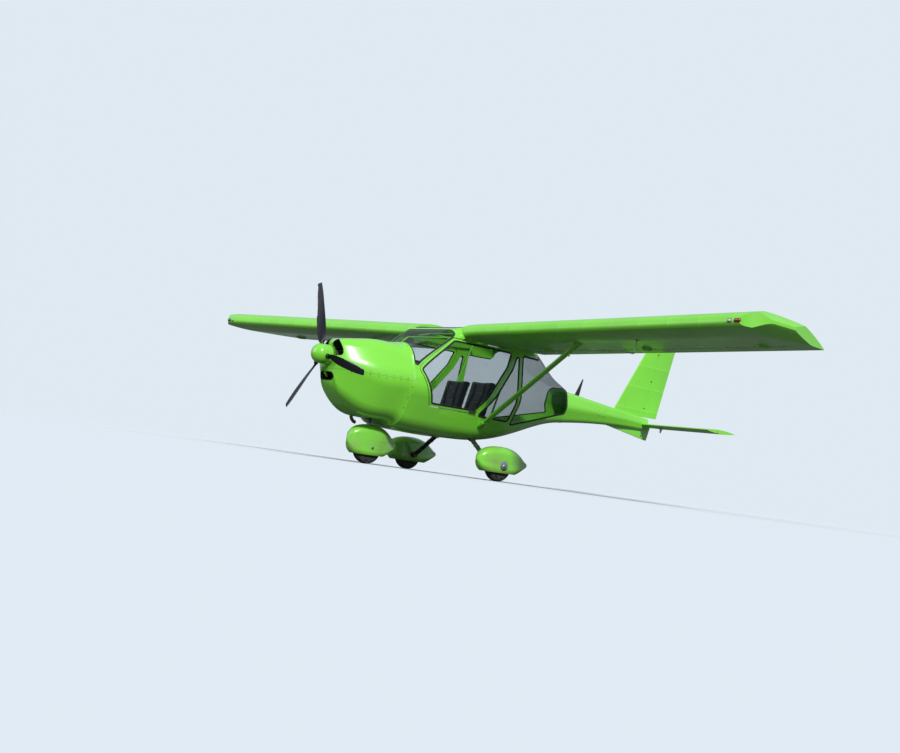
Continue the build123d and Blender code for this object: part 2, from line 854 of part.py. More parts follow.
# The spinner's seam lies midway between two blades.
seam = radians(180 / blade_count - blade_lean)
seam_plane = Plane(
    origin=(0, prop_y, prop_z), x_dir=(sin(seam), 0, cos(seam)), z_dir=(-cos(seam), 0, sin(seam))
)
skirt_front = blade_shank_r + 8
with BuildPart() as spinner_shell:
    with BuildSketch(seam_plane):
        with BuildLine():
            for wall in (0, spinner_wall):
                nose_length = spinner_nose - skirt_front - wall
                EllipticalCenterArc((0, -skirt_front), spinner_r - wall, nose_length, 270, arc_size=90)
                Line((spinner_r - wall, -skirt_front), (spinner_r - wall, spinner_back))
            Line((0, -spinner_nose), (0, spinner_wall - spinner_nose))
            Line((spinner_r - spinner_wall, spinner_back), (spinner_r, spinner_back))
        make_face()
    revolve(axis=Axis((0, prop_y, prop_z), (0, 1, 0)))

blade_table = [
    # radius, chord, thickness, pitch in degrees
    (140, 70, 30, 50),
    (300, 112, 18, 31),
    (500, 110, 13, 21),
    (700, 95, 9, 15),
    (prop_radius, 60, 5, 12),
]
with BuildPart() as blade:
    for radius, blade_c, blade_t, pitch in blade_table:
        turn = radians(pitch)
        with BuildSketch(Plane(origin=(0, 0, radius), x_dir=(-cos(turn), -sin(turn), 0), z_dir=(0, 0, 1))):
            with BuildLine():
                ThreePointArc((-blade_c / 2, 0), (0, 0.3 * blade_t), (blade_c / 2, 0))
                ThreePointArc((-blade_c / 2, 0), (0, -0.7 * blade_t), (blade_c / 2, 0))
            make_face()
    loft()
    with BuildSketch(Plane.XY.offset(30)):
        Circle(blade_shank_r)
    extrude(amount=125)
with BuildPart() as blade_hole:
    with BuildSketch(Plane.XY.offset(40)):
        Circle(blade_shank_r + 4)
    extrude(amount=120)
blade_places = [
    Location((0, prop_y, prop_z), (0, -blade_lean + 360 / blade_count * i, 0)) for i in range(blade_count)
]
with BuildPart() as hub:
    # Rows of start, length and radius, from the spinner's back plate to the shaft
    for y, length, radius in (
        (prop_y + hub_half, 4, spinner_r - spinner_wall - seat_fit), (prop_y + hub_half, 2 * hub_half, hub_r),
        (-2930, 30, hub_r - 10), (-2865, 80, shaft_r),
    ):
        with BuildSketch(station(y)):
            with Locations((0, prop_z)):
                Circle(radius)
        extrude(amount=length)
save(joined(hub.part, *[place * blade.part for place in blade_places]), "propeller")
save(cut(spinner_shell.part, *[place * blade_hole.part for place in blade_places]), "spinner")

print("wheels")
half_w = tyre_w / 2
half_rim = rim_w / 2
tyre_points = [
    (-half_rim, rim_r + seat_fit), (-half_w, 0.62 * tyre_r), (-half_w, 0.80 * tyre_r),
    (-0.78 * half_w, 0.94 * tyre_r), (-0.45 * half_w, tyre_r), (0.45 * half_w, tyre_r),
    (0.78 * half_w, 0.94 * tyre_r), (half_w, 0.80 * tyre_r), (half_w, 0.62 * tyre_r),
    (half_rim, rim_r + seat_fit),
]
rim_points = [
    (-half_rim, axle_r + run_fit), (-half_rim, wheel_hub_r), (-web_half_t, wheel_hub_r + 8),
    (-web_half_t, rim_r - 16), (-half_rim, rim_r - 8), (-half_rim, rim_r), (half_rim, rim_r),
    (half_rim, rim_r - 8), (web_half_t, rim_r - 16), (web_half_t, wheel_hub_r + 8), (half_rim, wheel_hub_r),
    (half_rim, axle_r + run_fit),
]


def wheel_turned(points):
    """A ring turned about the X axis from half widths and radii."""
    with BuildPart() as ring:
        with BuildSketch(Plane.XZ):
            with BuildLine():
                Polyline(*points, close=True)
            make_face()
        revolve(axis=Axis.X)
    return ring.part


tyre_ring = wheel_turned(tyre_points)
rim_disc = wheel_turned(rim_points)
with BuildPart() as rim_ring:
    add(rim_disc)
    with BuildSketch(Plane.YZ.offset(-web_half_t - 1)):
        with PolarLocations((rim_r - 16 + wheel_hub_r + 8) / 2, rim_hole_count):
            Circle(rim_hole_r)
    extrude(amount=2 * web_half_t + 2, mode=Mode.SUBTRACT)
wheel_places = {
    "nose": (0, nose_wheel_y), "port": (track / 2, main_wheel_y), "starboard": (-track / 2, main_wheel_y),
}
for place, (x, y) in wheel_places.items():
    save(Pos(x, y, tyre_r) * tyre_ring, f"tyre_{place}")
    save(Pos(x, y, tyre_r) * rim_ring.part, f"rim_{place}")

spat_table = [
    # place along the spat, width, lowest and highest point of the section
    (-330, 70, 190, 285),
    (-290, 130, 130, 335),
    (-190, 190, 80, 385),
    (-20, 220, 60, 410),
    (160, 200, 75, 395),
    (320, 120, 130, 330),
    (440, 40, 200, 260),
]


def spat_loft(stretch, rise, inset):
    """A wheel fairing's outer or inner form, about its wheel's centre line at x 0 and y 0."""
    with BuildPart() as form:
        for row, (along, width, low, high) in enumerate(spat_table):
            end_inset = inset if row == 0 else -inset if row == len(spat_table) - 1 else 0
            with BuildSketch(station(along * stretch + end_inset)):
                with Locations((0, (low + high + rise) / 2)):
                    inner_w = width - 2 * inset
                    RectangleRounded(inner_w, high + rise - low - 2 * inset, 0.42 * inner_w)
        loft()
    return form.part


floor_cut = block((-300, -700, -300), (300, 700, spat_open_z))
axle_hole = bar((-200, 0, tyre_r), (200, 0, tyre_r), axle_r + seat_fit)
steer_hole = bar((0, -nose_trail, 300), (0, -nose_trail, 550), steer_tube_r + seat_fit)


def spat(stretch, rise, *holes):
    """A hollow wheel fairing, open below."""
    return cut(spat_loft(stretch, rise, 0), spat_loft(stretch, rise, spat_wall), floor_cut, axle_hole, *holes)


save_pair(Pos(track / 2, main_wheel_y, 0) * spat(1, 0), "spat")
save(Pos(0, nose_wheel_y, 0) * spat(nose_spat_stretch, nose_spat_rise, steer_hole), "nose_spat")

print("legs")
leg_top = Vector(leg_root_x, main_wheel_y, leg_root_z)
leg_low = Vector(leg_foot_x, main_wheel_y, tyre_r + 4)
spat_in_x = track / 2 - spat_half_w
with BuildPart() as leg_blade:
    with BuildSketch(Plane(origin=leg_top, x_dir=(0, 1, 0), z_dir=leg_low - leg_top)):
        SlotOverall(leg_chord, leg_thick)
    extrude(amount=(leg_low - leg_top).length)
leg_boss = bar((leg_foot_x - 25, main_wheel_y, tyre_r), (spat_in_x - 1, main_wheel_y, tyre_r), leg_boss_r)
axle = bar((leg_foot_x, main_wheel_y, tyre_r), (track / 2 + axle_end, main_wheel_y, tyre_r), axle_r)
save_pair(cut(joined(leg_blade.part, leg_boss, axle), cabin_clear), "gear_leg")

firewall_front_y = firewall_y - firewall_t - seat_fit
leg_socket = bar((0, steer_y, nose_leg_low), (0, steer_y, nose_leg_high), steer_tube_r + socket_wall)
leg_arms = [block((-18, steer_y, z - 9), (18, firewall_front_y, z + 9)) for z in nose_leg_arm_zs]
leg_bore = bar((0, steer_y, nose_leg_low), (0, steer_y, nose_leg_high), steer_tube_r + run_fit)
save(cut(joined(leg_socket, *leg_arms), leg_bore), "nose_leg")

crown_z = 2 * tyre_r + tyre_clear
with BuildPart() as fork_blades:
    with BuildSketch(Plane.XY.offset(crown_z)):
        with Locations((0, steer_y + 12)):
            RectangleRounded(tyre_w + 44, 80, 20)
    extrude(amount=14)
    for side in (-1, 1):
        with BuildSketch(Plane.YZ.offset(side * (half_w + 18) - 4)):
            with BuildLine():
                Polyline(
                    (steer_y - 20, crown_z + 2), (steer_y + 45, crown_z + 2), (nose_wheel_y + 26, tyre_r),
                    (nose_wheel_y, tyre_r - 26), (nose_wheel_y - 26, tyre_r), close=True,
                )
            make_face()
        extrude(amount=8)
steer_tube = bar((0, steer_y, crown_z), (0, steer_y, crown_z + 290), steer_tube_r)
fork_axle = bar((-axle_end, nose_wheel_y, tyre_r), (axle_end, nose_wheel_y, tyre_r), axle_r)
# The bore takes the tow bar's pin.
tow_bore = bar((-axle_end, nose_wheel_y, tyre_r), (axle_end, nose_wheel_y, tyre_r), tow_bore_r)
save(cut(joined(fork_blades.part, steer_tube, fork_axle), tow_bore), "nose_fork")

print("cabin fittings")
seat_shapes = {
    "seat_cushion": [(-1370, 745), (-1340, 640), (-900, 630), (-900, 700), (-1290, 770)],
    "seat_back": [(-890, 640), (-810, 640), (-660, 1190), (-750, 1200)],
}
for name, outline in seat_shapes.items():
    save_pair(common(side_block(outline, 20, 0, seat_in_x, seat_in_x + seat_w), cabin_room), name)
with BuildPart() as seat_frame:
    with Locations((0, -1130, 610)):
        Box(2 * (seat_in_x + seat_w), 440, 20)
    with Locations((-360, -1130, 520), (0, -1130, 520), (360, -1130, 520)):
        Box(24, 400, 180)
save(common(seat_frame.part, cabin_room), "seat_frame")

panel_y = -1840
panel_z = 1130
panel_stay = block((-30, firewall_y + seat_fit, panel_z - 100), (30, panel_y + 1, panel_z - 60))
with BuildPart() as panel:
    with BuildSketch(station(panel_y)):
        with Locations((0, panel_z)):
            RectangleRounded(700, 260, 60)
    extrude(amount=-panel_t)
    # The hood stands out over the dials and runs forward from them.
    with BuildSketch(station(panel_y + panel_t + hood_reach)):
        with Locations((0, panel_z)):
            RectangleRounded(724, 284, 70)
            RectangleRounded(696, 256, 58, mode=Mode.SUBTRACT)
            Rectangle(800, 400, align=(Align.CENTER, Align.MAX), mode=Mode.SUBTRACT)
    extrude(amount=hood_len)
save(joined(panel.part, panel_stay), "instrument_panel")

stick = bar((0, stick_y, 430), (0, stick_y, 920), 14)
save(common(stick, cabin_room), "control_stick")

pedal_y = -1900
pedal_z = 600
pedal_bars = [bar((-310, pedal_y, pedal_z), (310, pedal_y, pedal_z), 10)]
for x in (-200, 200):
    pedal_bars.append(bar((x, pedal_y, pedal_z), (x, pedal_y, cowl_floor_z), 8))
for x in (-270, -120, 120, 270):
    pedal_bars.append(bar((x, pedal_y, pedal_z), (x, pedal_y - 20, pedal_z + 60), 7))
    pedal_bars.append(block((x - 45, pedal_y - 30, pedal_z + 40), (x + 45, pedal_y - 18, pedal_z + 150)))
save(common(joined(*pedal_bars), cabin_room), "rudder_pedals")

# One side's frame tube runs from the floor up the rear post, along the roof and down the windscreen
# pillar to the firewall; then the tubes across, as half lengths with their y and z.
side_tube = [
    (290, -740, 480), (440, -740, 700), (400, -420, 1700), (400, -1150, 1700), (400, -1490, 1600),
    (480, -2059, 1060),
]
cross_tubes = [(400, -1490, 1600), (400, -1150, 1700), (400, -420, 1700), (440, -740, 700)]


def bent_tube(points, radius):
    """A round bar along a line, rounded at its bends."""
    with BuildPart() as made:
        with BuildLine() as path:
            Polyline(*points)
        with BuildSketch(Plane(origin=points[0], z_dir=Vector(points[1]) - Vector(points[0]))):
            Circle(radius)
        sweep(path=path.line, transition=Transition.ROUND)
    return made.part


side_clear = bent_tube(side_tube, frame_tube_r + seat_fit)
save_pair(common(bent_tube(side_tube, frame_tube_r), cabin_room), "cabin_frame")
across = joined(*[bar((-half, y, z), (half, y, z), frame_tube_r) for half, y, z in cross_tubes])
save(cut(across, side_clear, mirror(side_clear, about=Plane.YZ)), "cross_tubes")
print("cross tubes", len(across.solids()))
print("done")
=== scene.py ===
import math

import bmesh
import bpy
from mathutils import Matrix, Vector
from mathutils.bvhtree import BVHTree


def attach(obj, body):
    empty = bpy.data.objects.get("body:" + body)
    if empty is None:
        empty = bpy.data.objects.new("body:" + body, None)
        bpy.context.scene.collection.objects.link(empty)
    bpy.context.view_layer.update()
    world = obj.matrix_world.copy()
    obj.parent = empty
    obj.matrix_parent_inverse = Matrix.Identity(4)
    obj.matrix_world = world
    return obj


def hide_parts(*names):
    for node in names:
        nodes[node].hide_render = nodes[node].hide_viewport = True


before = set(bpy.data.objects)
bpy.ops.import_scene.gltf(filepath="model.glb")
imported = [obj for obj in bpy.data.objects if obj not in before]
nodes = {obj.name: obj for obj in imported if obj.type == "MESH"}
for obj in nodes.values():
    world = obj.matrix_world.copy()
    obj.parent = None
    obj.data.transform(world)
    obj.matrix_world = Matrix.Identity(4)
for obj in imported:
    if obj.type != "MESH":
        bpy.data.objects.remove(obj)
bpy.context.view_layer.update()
print("frame loaded:", len(nodes), "nodes")


def paintColour(red, green, blue):
    # a colour as it is read off a screen, 0 to 255, made linear
    linear = [((c / 255 + 0.055) / 1.055) ** 2.4 if c > 10 else c / 255 / 12.92 for c in (red, green, blue)]
    return (*linear, 1)


# Shader arithmetic: a socket that + - * / ** and % can be written with
class Sock:
    def __init__(self, finish, socket):
        self.finish = finish
        self.socket = socket

    def maths(self, operation, first, second=0.0):
        return self.finish.node("ShaderNodeMath", {"operation": operation}, {0: first, 1: second})

    def __add__(self, other):
        return self.maths("ADD", self, other)

    def __radd__(self, other):
        return self.maths("ADD", other, self)

    def __sub__(self, other):
        return self.maths("SUBTRACT", self, other)

    def __rsub__(self, other):
        return self.maths("SUBTRACT", other, self)

    def __mul__(self, other):
        return self.maths("MULTIPLY", self, other)

    def __rmul__(self, other):
        return self.maths("MULTIPLY", other, self)

    def __truediv__(self, other):
        return self.maths("DIVIDE", self, other)

    def __rtruediv__(self, other):
        return self.maths("DIVIDE", other, self)

    def __pow__(self, other):
        return self.maths("POWER", self, other)

    def __mod__(self, other):
        return self.maths("FLOORED_MODULO", self, other)

    def __abs__(self):
        return self.maths("ABSOLUTE", self)

    def atMost(self, other):
        return self.maths("MINIMUM", self, other)

    def other(self, name):
        return Sock(self.finish, self.socket.node.outputs[name])


class Finish:
    def __init__(self, name):
        self.material = bpy.data.materials.new(name)
        self.material.use_nodes = True
        self.tree = self.material.node_tree
        self.tree.nodes.clear()
        self.output = self.tree.nodes.new("ShaderNodeOutputMaterial")

    def node(self, kind, settings=None, sockets=None, output=0):
        made = self.tree.nodes.new(kind)
        for key, value in (settings or {}).items():
            if key == "stops":
                ramp = made.color_ramp
                for index, (position, colour) in enumerate(value):
                    stop = ramp.elements[index] if index < 2 else ramp.elements.new(position)
                    stop.position = position
                    stop.color = colour
            else:
                setattr(made, key, value)
        for key, value in (sockets or {}).items():
            if isinstance(value, Sock):
                self.tree.links.new(value.socket, made.inputs[key])
            else:
                made.inputs[key].default_value = value
        return Sock(self, made.outputs[output])

    def place(self, scale=(1, 1, 1)):
        coordinates = self.node("ShaderNodeTexCoord", output="Object")
        if scale == (1, 1, 1):
            return coordinates
        return self.node("ShaderNodeMapping", {}, {"Vector": coordinates, "Scale": scale})

    def axes(self):
        split = self.node("ShaderNodeSeparateXYZ", {}, {0: self.place()})
        return split, split.other("Y"), split.other("Z")

    def noise(self, scale, detail=2.0, stretch=(1, 1, 1)):
        sockets = {"Vector": self.place(stretch), "Scale": scale, "Detail": detail}
        return self.node("ShaderNodeTexNoise", {}, sockets)

    def ramp(self, value, *stops):
        # a grey ramp through pairs of input and output
        shades = [(position, (shade, shade, shade, 1)) for position, shade in stops]
        return self.node("ShaderNodeValToRGB", {"stops": shades}, {0: value})

    def blend(self, factor, first, second, how="MIX"):
        return self.node(
            "ShaderNodeMix", {"data_type": "RGBA", "blend_type": how, "clamp_factor": True},
            {0: factor, 6: first, 7: second}, output=2,
        )

    def bump(self, height, depth, strength=1.0):
        return self.node("ShaderNodeBump", {}, {"Height": height, "Distance": depth, "Strength": strength})

    def surface(self, **sockets):
        named = {key.replace("_", " "): value for key, value in sockets.items()}
        shader = self.node("ShaderNodeBsdfPrincipled", {}, named)
        self.tree.links.new(shader.socket, self.output.inputs["Surface"])
        return self.material

    def mixed(self, factor, first, second):
        shader = self.node("ShaderNodeMixShader", {}, {0: factor, 1: first, 2: second})
        self.tree.links.new(shader.socket, self.output.inputs["Surface"])
        return self.material


limeShade = {
    "paint": paintColour(122, 208, 58), "deep": paintColour(98, 188, 42), "dust": paintColour(120, 132, 84),
    "ribSpacing": 0.395, "tapeWidth": 0.05,
}


def grime(finish, top, amount):
    # road dust and oil that thin out with height
    height = finish.axes()[2]
    low = finish.ramp(height / top, (0.0, 1.0), (1.0, 0.0))
    patches = finish.ramp(finish.noise(3.2, 6.0), (0.38, 0.0), (0.72, 1.0))
    streaks = finish.ramp(finish.noise(5.0, 4.0, (1, 0.25, 3)), (0.45, 0.0), (0.75, 1.0))
    return (low * (patches * 0.7 + streaks * 0.5) * amount).atMost(1.0)


def limePaint(name="limePaint", dirty=0.5):
    finish = Finish(name)
    drift = finish.ramp(finish.noise(0.8, 3.0), (0.3, 0.0), (0.7, 1.0))
    colour = finish.blend(drift * 0.35, limeShade["paint"], limeShade["deep"])
    dirt = grime(finish, 0.9, dirty)
    colour = finish.blend(dirt, colour, limeShade["dust"])
    peel = finish.noise(320.0, 1.0) * 0.5 + finish.noise(6.0, 2.0) * 4.0
    return finish.surface(
        Base_Color=colour, Roughness=0.26 + dirt * 0.4, Normal=finish.bump(peel, 0.0006, 0.25),
        Coat_Weight=0.6, Coat_Roughness=0.06, IOR=1.5,
    )


def limeFabric(name, along, spacing=None, start=0.0):
    # doped cloth over ribs: it sags a little between them, and a tape is stuck along each one
    finish = Finish(name)
    spacing = spacing or limeShade["ribSpacing"]
    line = abs(finish.axes()[along])
    bay = ((line + start) % spacing) / spacing
    fromRib = abs(bay - 0.5) * 2.0
    tape = 1.0 - finish.ramp((1.0 - fromRib) * spacing / limeShade["tapeWidth"], (0.46, 0.0), (0.54, 1.0))
    sag = fromRib ** 2.0
    weave = finish.noise(900.0, 0.0)
    drift = finish.ramp(finish.noise(0.9, 3.0), (0.3, 0.0), (0.7, 1.0))
    colour = finish.blend(drift * 0.4, limeShade["paint"], limeShade["deep"])
    colour = finish.blend(tape * 0.16, colour, paintColour(150, 222, 92))
    dirt = finish.ramp(finish.noise(2.2, 6.0), (0.5, 0.0), (0.85, 1.0)) * 0.22
    colour = finish.blend(dirt, colour, limeShade["dust"])
    height = sag * 0.004 + tape * 0.0007 + weave * 0.00006
    return finish.surface(
        Base_Color=colour, Roughness=0.38 + dirt * 0.6, Normal=finish.bump(height, 1.0, 0.8),
        Coat_Weight=0.25, Coat_Roughness=0.12,
    )


def glazing(name, clearness):
    # each pane has two faces, so light meets the tint twice
    finish = Finish(name)
    tint = (clearness * 0.97, clearness, clearness, 1)
    clear = finish.node("ShaderNodeBsdfTransparent", {}, {"Color": tint})
    ripple = finish.noise(4.0, 1.0)
    dusty = finish.ramp(finish.noise(9.0, 5.0), (0.5, 0.0), (0.9, 1.0))
    shine = finish.node(
        "ShaderNodeBsdfPrincipled", {},
        {"Base Color": (0.02, 0.024, 0.026, 1), "Roughness": 0.035 + dusty * 0.08, "IOR": 1.5,
         "Normal": finish.bump(ripple, 0.002, 0.15)},
    )
    # the share reflected grows at the edge alike from inside and outside the pane
    edge = finish.node("ShaderNodeLayerWeight", {}, {"Blend": 0.5}, "Facing") ** 5.0
    return finish.mixed((0.04 + edge * 0.8 + dusty * 0.03).atMost(1.0), clear, shine)


def bladeFinish():
    finish = Finish("bladeFinish")
    grain = finish.noise(60.0, 3.0, (1, 1, 0.1))
    colour = finish.blend(grain, paintColour(8, 10, 20), paintColour(16, 20, 34))
    scuff = finish.ramp(finish.noise(140.0, 4.0), (0.62, 0.0), (0.74, 1.0))
    colour = finish.blend(scuff * 0.12, colour, paintColour(84, 86, 92))
    return finish.surface(
        Base_Color=colour, Roughness=0.42 + scuff * 0.2, Specular_IOR_Level=0.3,
        Normal=finish.bump(grain, 0.0003, 0.3),
    )


def metal(name, shade, rough, metallic=1.0, brushed=(1, 1, 1), pits=0.0004):
    finish = Finish(name)
    grain = finish.noise(180.0, 3.0, brushed)
    worn = finish.ramp(finish.noise(14.0, 5.0), (0.4, 0.0), (0.75, 1.0))
    darker = tuple(c * 0.62 for c in shade[:3]) + (1,)
    colour = finish.blend(worn * 0.5 + grain * 0.2, shade, darker)
    return finish.surface(
        Base_Color=colour, Metallic=metallic, Roughness=rough + worn * 0.14,
        Normal=finish.bump(grain, pits, 0.35),
    )


def moulded(name, shade, rough=0.5, grainSize=260.0, depth=0.0004, fleck=0.2):
    finish = Finish(name)
    grain = finish.noise(grainSize, 2.0)
    cloud = finish.ramp(finish.noise(7.0, 4.0), (0.35, 0.0), (0.75, 1.0))
    lighter = tuple(min(1, c * 1.5 + 0.01) for c in shade[:3]) + (1,)
    colour = finish.blend(cloud * fleck, shade, lighter)
    return finish.surface(
        Base_Color=colour, Roughness=rough + cloud * 0.1, Normal=finish.bump(grain, depth, 0.4)
    )


def rubber(name, shade=paintColour(26, 26, 27), dusty=0.5):
    finish = Finish(name)
    height = finish.axes()[2]
    scuffs = finish.ramp(finish.noise(26.0, 5.0), (0.42, 0.0), (0.7, 1.0))
    ground = finish.ramp(height / 0.4, (0.0, 1.0), (1.0, 0.35))
    colour = finish.blend(scuffs * ground * dusty, shade, paintColour(98, 92, 80))
    return finish.surface(
        Base_Color=colour, Roughness=0.72 + scuffs * 0.15,
        Normal=finish.bump(finish.noise(420.0, 3.0), 0.0005, 0.4),
    )


def clothFinish(name, shade, thread=0.0022, lighter=1.7):
    # a plain weave of crossing threads; the raised crossings are made paler as a painted highlight, and worn
    # patches paler as real wear
    finish = Finish(name)
    x, y, z = finish.axes()
    across = ((x + y * 0.15) / thread) % 1.0
    along = ((z + y) / thread) % 1.0
    ridge = (abs(across - 0.5) * 2.0) * (abs(along - 0.5) * 2.0)
    worn = finish.ramp(finish.noise(11.0, 5.0), (0.4, 0.0), (0.8, 1.0))
    paleHighlightAndWear = tuple(min(1, c * lighter + 0.012) for c in shade[:3]) + (1,)
    # painted highlight on the raised weave, mixed with real wear
    colour = finish.blend(ridge * 0.6 + worn * 0.25, shade, paleHighlightAndWear)
    return finish.surface(
        Base_Color=colour, Roughness=0.88, Sheen_Weight=0.35, Sheen_Roughness=0.4,
        Normal=finish.bump(ridge, thread * 0.35, 0.6),
    )


def lens(name, shade):
    # moulded plastic, ribbed inside; the colour is darkened in each groove between the ribs as painted shade
    finish = Finish(name)
    ribs = abs(finish.axes()[1] / 0.004 % 1.0 - 0.5)
    # painted shade: darker colour in the grooves, following the rib height
    grooveShade = tuple(c * 0.55 for c in shade[:3]) + (1,)
    return finish.surface(
        Base_Color=finish.blend(ribs, grooveShade, shade), Roughness=0.08 + finish.noise(30.0, 3.0) * 0.08,
        Normal=finish.bump(ribs, 0.0006, 0.3), Coat_Weight=1.0, Coat_Roughness=0.03,
    )


finishes = {
    "paint": limePaint(),
    "spatPaint": limePaint("spatPaint", 1.0),
    "wing": limeFabric("wingFabric", 0, start=-0.145),
    "tail": limeFabric("tailFabric", 0, 0.305),
    "fin": limeFabric("finFabric", 2, 0.31),
    "tube": limePaint("tubePaint", 0.15),
    "glass": glazing("clearGlass", 0.93),
    "smoked": glazing("smokedGlass", 0.78),
    "blade": bladeFinish(),
    "alloy": metal("alloy", paintColour(196, 198, 202), 0.3),
    "steel": metal("steel", paintColour(150, 152, 156), 0.34),
    "casting": metal("casting", paintColour(118, 120, 124), 0.5, pits=0.001),
    "sheet": metal("sheetMetal", paintColour(180, 182, 184), 0.36, brushed=(1, 8, 1)),
    "wheel": metal("wheelAlloy", paintColour(204, 206, 208), 0.32),
    # painted shade: the gear legs get a dark green that stands in for the shade they sit in, not their own
    # lime paint
    "legPaintedShade": moulded("legPaintedShade", paintColour(30, 46, 30), 0.3, 200.0, 0.0002),
    "rubber": rubber("tyreRubber"),
    "sealRubber": rubber("sealRubber", paintColour(20, 20, 21), 0.1),
    "black": moulded("blackPlastic", paintColour(27, 27, 29), 0.5),
    "panel": moulded("panelPaint", paintColour(34, 35, 38), 0.6, 500.0, 0.0003),
    "cloth": clothFinish("seatCloth", paintColour(66, 69, 75)),
    "anodised": metal("anodised", paintColour(44, 45, 48), 0.4, 0.7),
    "scorched": metal("scorchedSteel", paintColour(132, 112, 96), 0.42),
    "radiator": metal("radiatorCore", paintColour(58, 59, 62), 0.5, 0.7),
    "marking": moulded("dialMarking", paintColour(226, 228, 222), 0.5, fleck=0.05),
    "screen": moulded("darkScreen", paintColour(12, 16, 22), 0.12, 60.0, 0.0001, 0.1),
    "yellowKnob": moulded("yellowKnob", paintColour(214, 168, 24), 0.4),
    "carpet": clothFinish("floorCarpet", paintColour(36, 37, 40), 0.004),
    "piping": clothFinish("seatPiping", paintColour(96, 99, 104), 0.0012),
    "webbing": clothFinish("webbing", paintColour(22, 23, 26), 0.0016, 2.2),
    "redLens": lens("redLens", paintColour(196, 14, 18)),
    "greenLens": lens("greenLens", paintColour(8, 150, 70)),
    "clearLens": lens("clearLens", paintColour(214, 220, 224)),
}
print("finishes made")

# Which finish each CAD node wears
nodeFinish = {
    "paint": ["cowl_upper", "cowl_lower", "cabin_shell", "tail_boom", "spinner", "ventral_fin",
              "door_frame_port", "door_frame_starboard"],
    "spatPaint": ["spat_port", "spat_starboard", "nose_spat"],
    "wing": ["wing_port", "wing_starboard", "flaperon_port", "flaperon_starboard"],
    "tail": ["tailplane", "elevator"],
    "fin": ["fin", "rudder"],
    "tube": ["strut_port", "strut_starboard", "cabin_frame_port", "cabin_frame_starboard", "cross_tubes"],
    "glass": ["windscreen", "door_window_port", "door_window_starboard"],
    "smoked": ["roof_window", "rear_window", "side_window_port", "side_window_starboard"],
    "blade": ["propeller"],
    "casting": ["engine", "nose_leg"],
    "scorched": ["exhaust"],
    "radiator": ["radiator"],
    "sheet": ["firewall", "seat_frame"],
    # the gear legs wear the dark green of painted shade
    "legPaintedShade": ["gear_leg_port", "gear_leg_starboard"],
    "steel": ["nose_fork", "hinge_plate_port", "hinge_plate_starboard",
              "door_hinge_port", "door_hinge_starboard"],
    "wheel": ["rim_nose", "rim_port", "rim_starboard"],
    "rubber": ["tyre_nose", "tyre_port", "tyre_starboard"],
    "cloth": ["seat_cushion_port", "seat_cushion_starboard", "seat_back_port", "seat_back_starboard"],
    "panel": ["instrument_panel"],
    "anodised": ["control_stick", "rudder_pedals"],
}
for finishName, members in nodeFinish.items():
    for member in members:
        shown = nodes[member]
        shown.data.materials.clear()
        shown.data.materials.append(finishes[finishName])
print("frame painted")


sides = {"port": 1, "starboard": -1}
aft = (0, 1, 0)
paneBodies = {
    "windscreen": "airframe", "roof_window": "airframe", "rear_window": "airframe",
    "side_window_port": "airframe", "side_window_starboard": "airframe",
    "door_window_port": "door_port", "door_window_starboard": "door_starboard",
}


# Modelling helpers: small forms are made about the origin, then taken into a piece at their place
def at(x, y, z):
    return Matrix.Translation((x, y, z))


def along3(across, upward, forward):
    # the turn that lays X, Y and Z along three directions
    return Matrix((across, upward, forward)).transposed().to_4x4()


def rounded(form, bevel, segments):
    if bevel:
        bmesh.ops.bevel(
            form, geom=form.edges[:], offset=bevel, affect="EDGES",
            segments=segments, profile=0.5, material=-1,
        )
    return form


def blockForm(size, bevel=0.0, segments=2):
    form = bmesh.new()
    bmesh.ops.create_cube(form, size=1)
    bmesh.ops.scale(form, vec=size, verts=form.verts)
    return rounded(form, bevel, segments)


def turnedForm(profile, steps=32, closed=False):
    # pairs of radius and height, spun about Z
    form = bmesh.new()
    verts = [form.verts.new((radius, 0, height)) for radius, height in profile]
    edges = [form.edges.new(pair) for pair in zip(verts, verts[1:])]
    if closed:
        edges.append(form.edges.new((verts[-1], verts[0])))
    bmesh.ops.spin(
        form, geom=verts + edges, cent=(0, 0, 0), axis=(0, 0, 1), angle=math.tau, steps=steps, use_merge=True
    )
    bmesh.ops.remove_doubles(form, verts=form.verts, dist=1e-6)
    bmesh.ops.recalc_face_normals(form, faces=form.faces)
    return form


def plateForm(outline, thickness, bevel=0.0, segments=2):
    # a flat outline in X and Y, thickened along Z
    form = bmesh.new()
    made = bmesh.ops.contextual_create(form, geom=[form.verts.new((x, y, 0)) for x, y in outline])
    grown = bmesh.ops.extrude_face_region(form, geom=made["faces"])["geom"]
    lifted = [part for part in grown if isinstance(part, bmesh.types.BMVert)]
    bmesh.ops.translate(form, vec=(0, 0, thickness), verts=lifted)
    bmesh.ops.recalc_face_normals(form, faces=form.faces)
    return rounded(form, bevel, segments)


def sweptForm(frames, sides, width, height, turn=0.0, closed=False):
    # the same ring at each frame, bridged to the next; Z of a frame runs along the path
    form = bmesh.new()
    rings = []
    shape = Matrix.Diagonal((width, height, 1, 1)) @ Matrix.Rotation(turn, 4, "Z")
    for place in frames:
        ring = bmesh.ops.create_circle(form, cap_ends=False, segments=sides, radius=1, matrix=place @ shape)
        rings.append(list(dict.fromkeys(edge for vert in ring["verts"] for edge in vert.link_edges)))
    pairs = list(zip(rings, rings[1:])) + ([(rings[-1], rings[0])] if closed else [])
    for first, second in pairs:
        bmesh.ops.bridge_loops(form, edges=first + second)
    if not closed:
        bmesh.ops.contextual_create(form, geom=rings[0])
        bmesh.ops.contextual_create(form, geom=rings[-1])
    bmesh.ops.recalc_face_normals(form, faces=form.faces)
    return form


def headings(points, closed=False):
    # the direction of the path at each point
    last = len(points) - 1
    for index in range(len(points)):
        before = points[index - 1] if index or closed else points[0]
        after = points[(index + 1) % len(points)] if index < last or closed else points[last]
        yield (after - before).normalized()


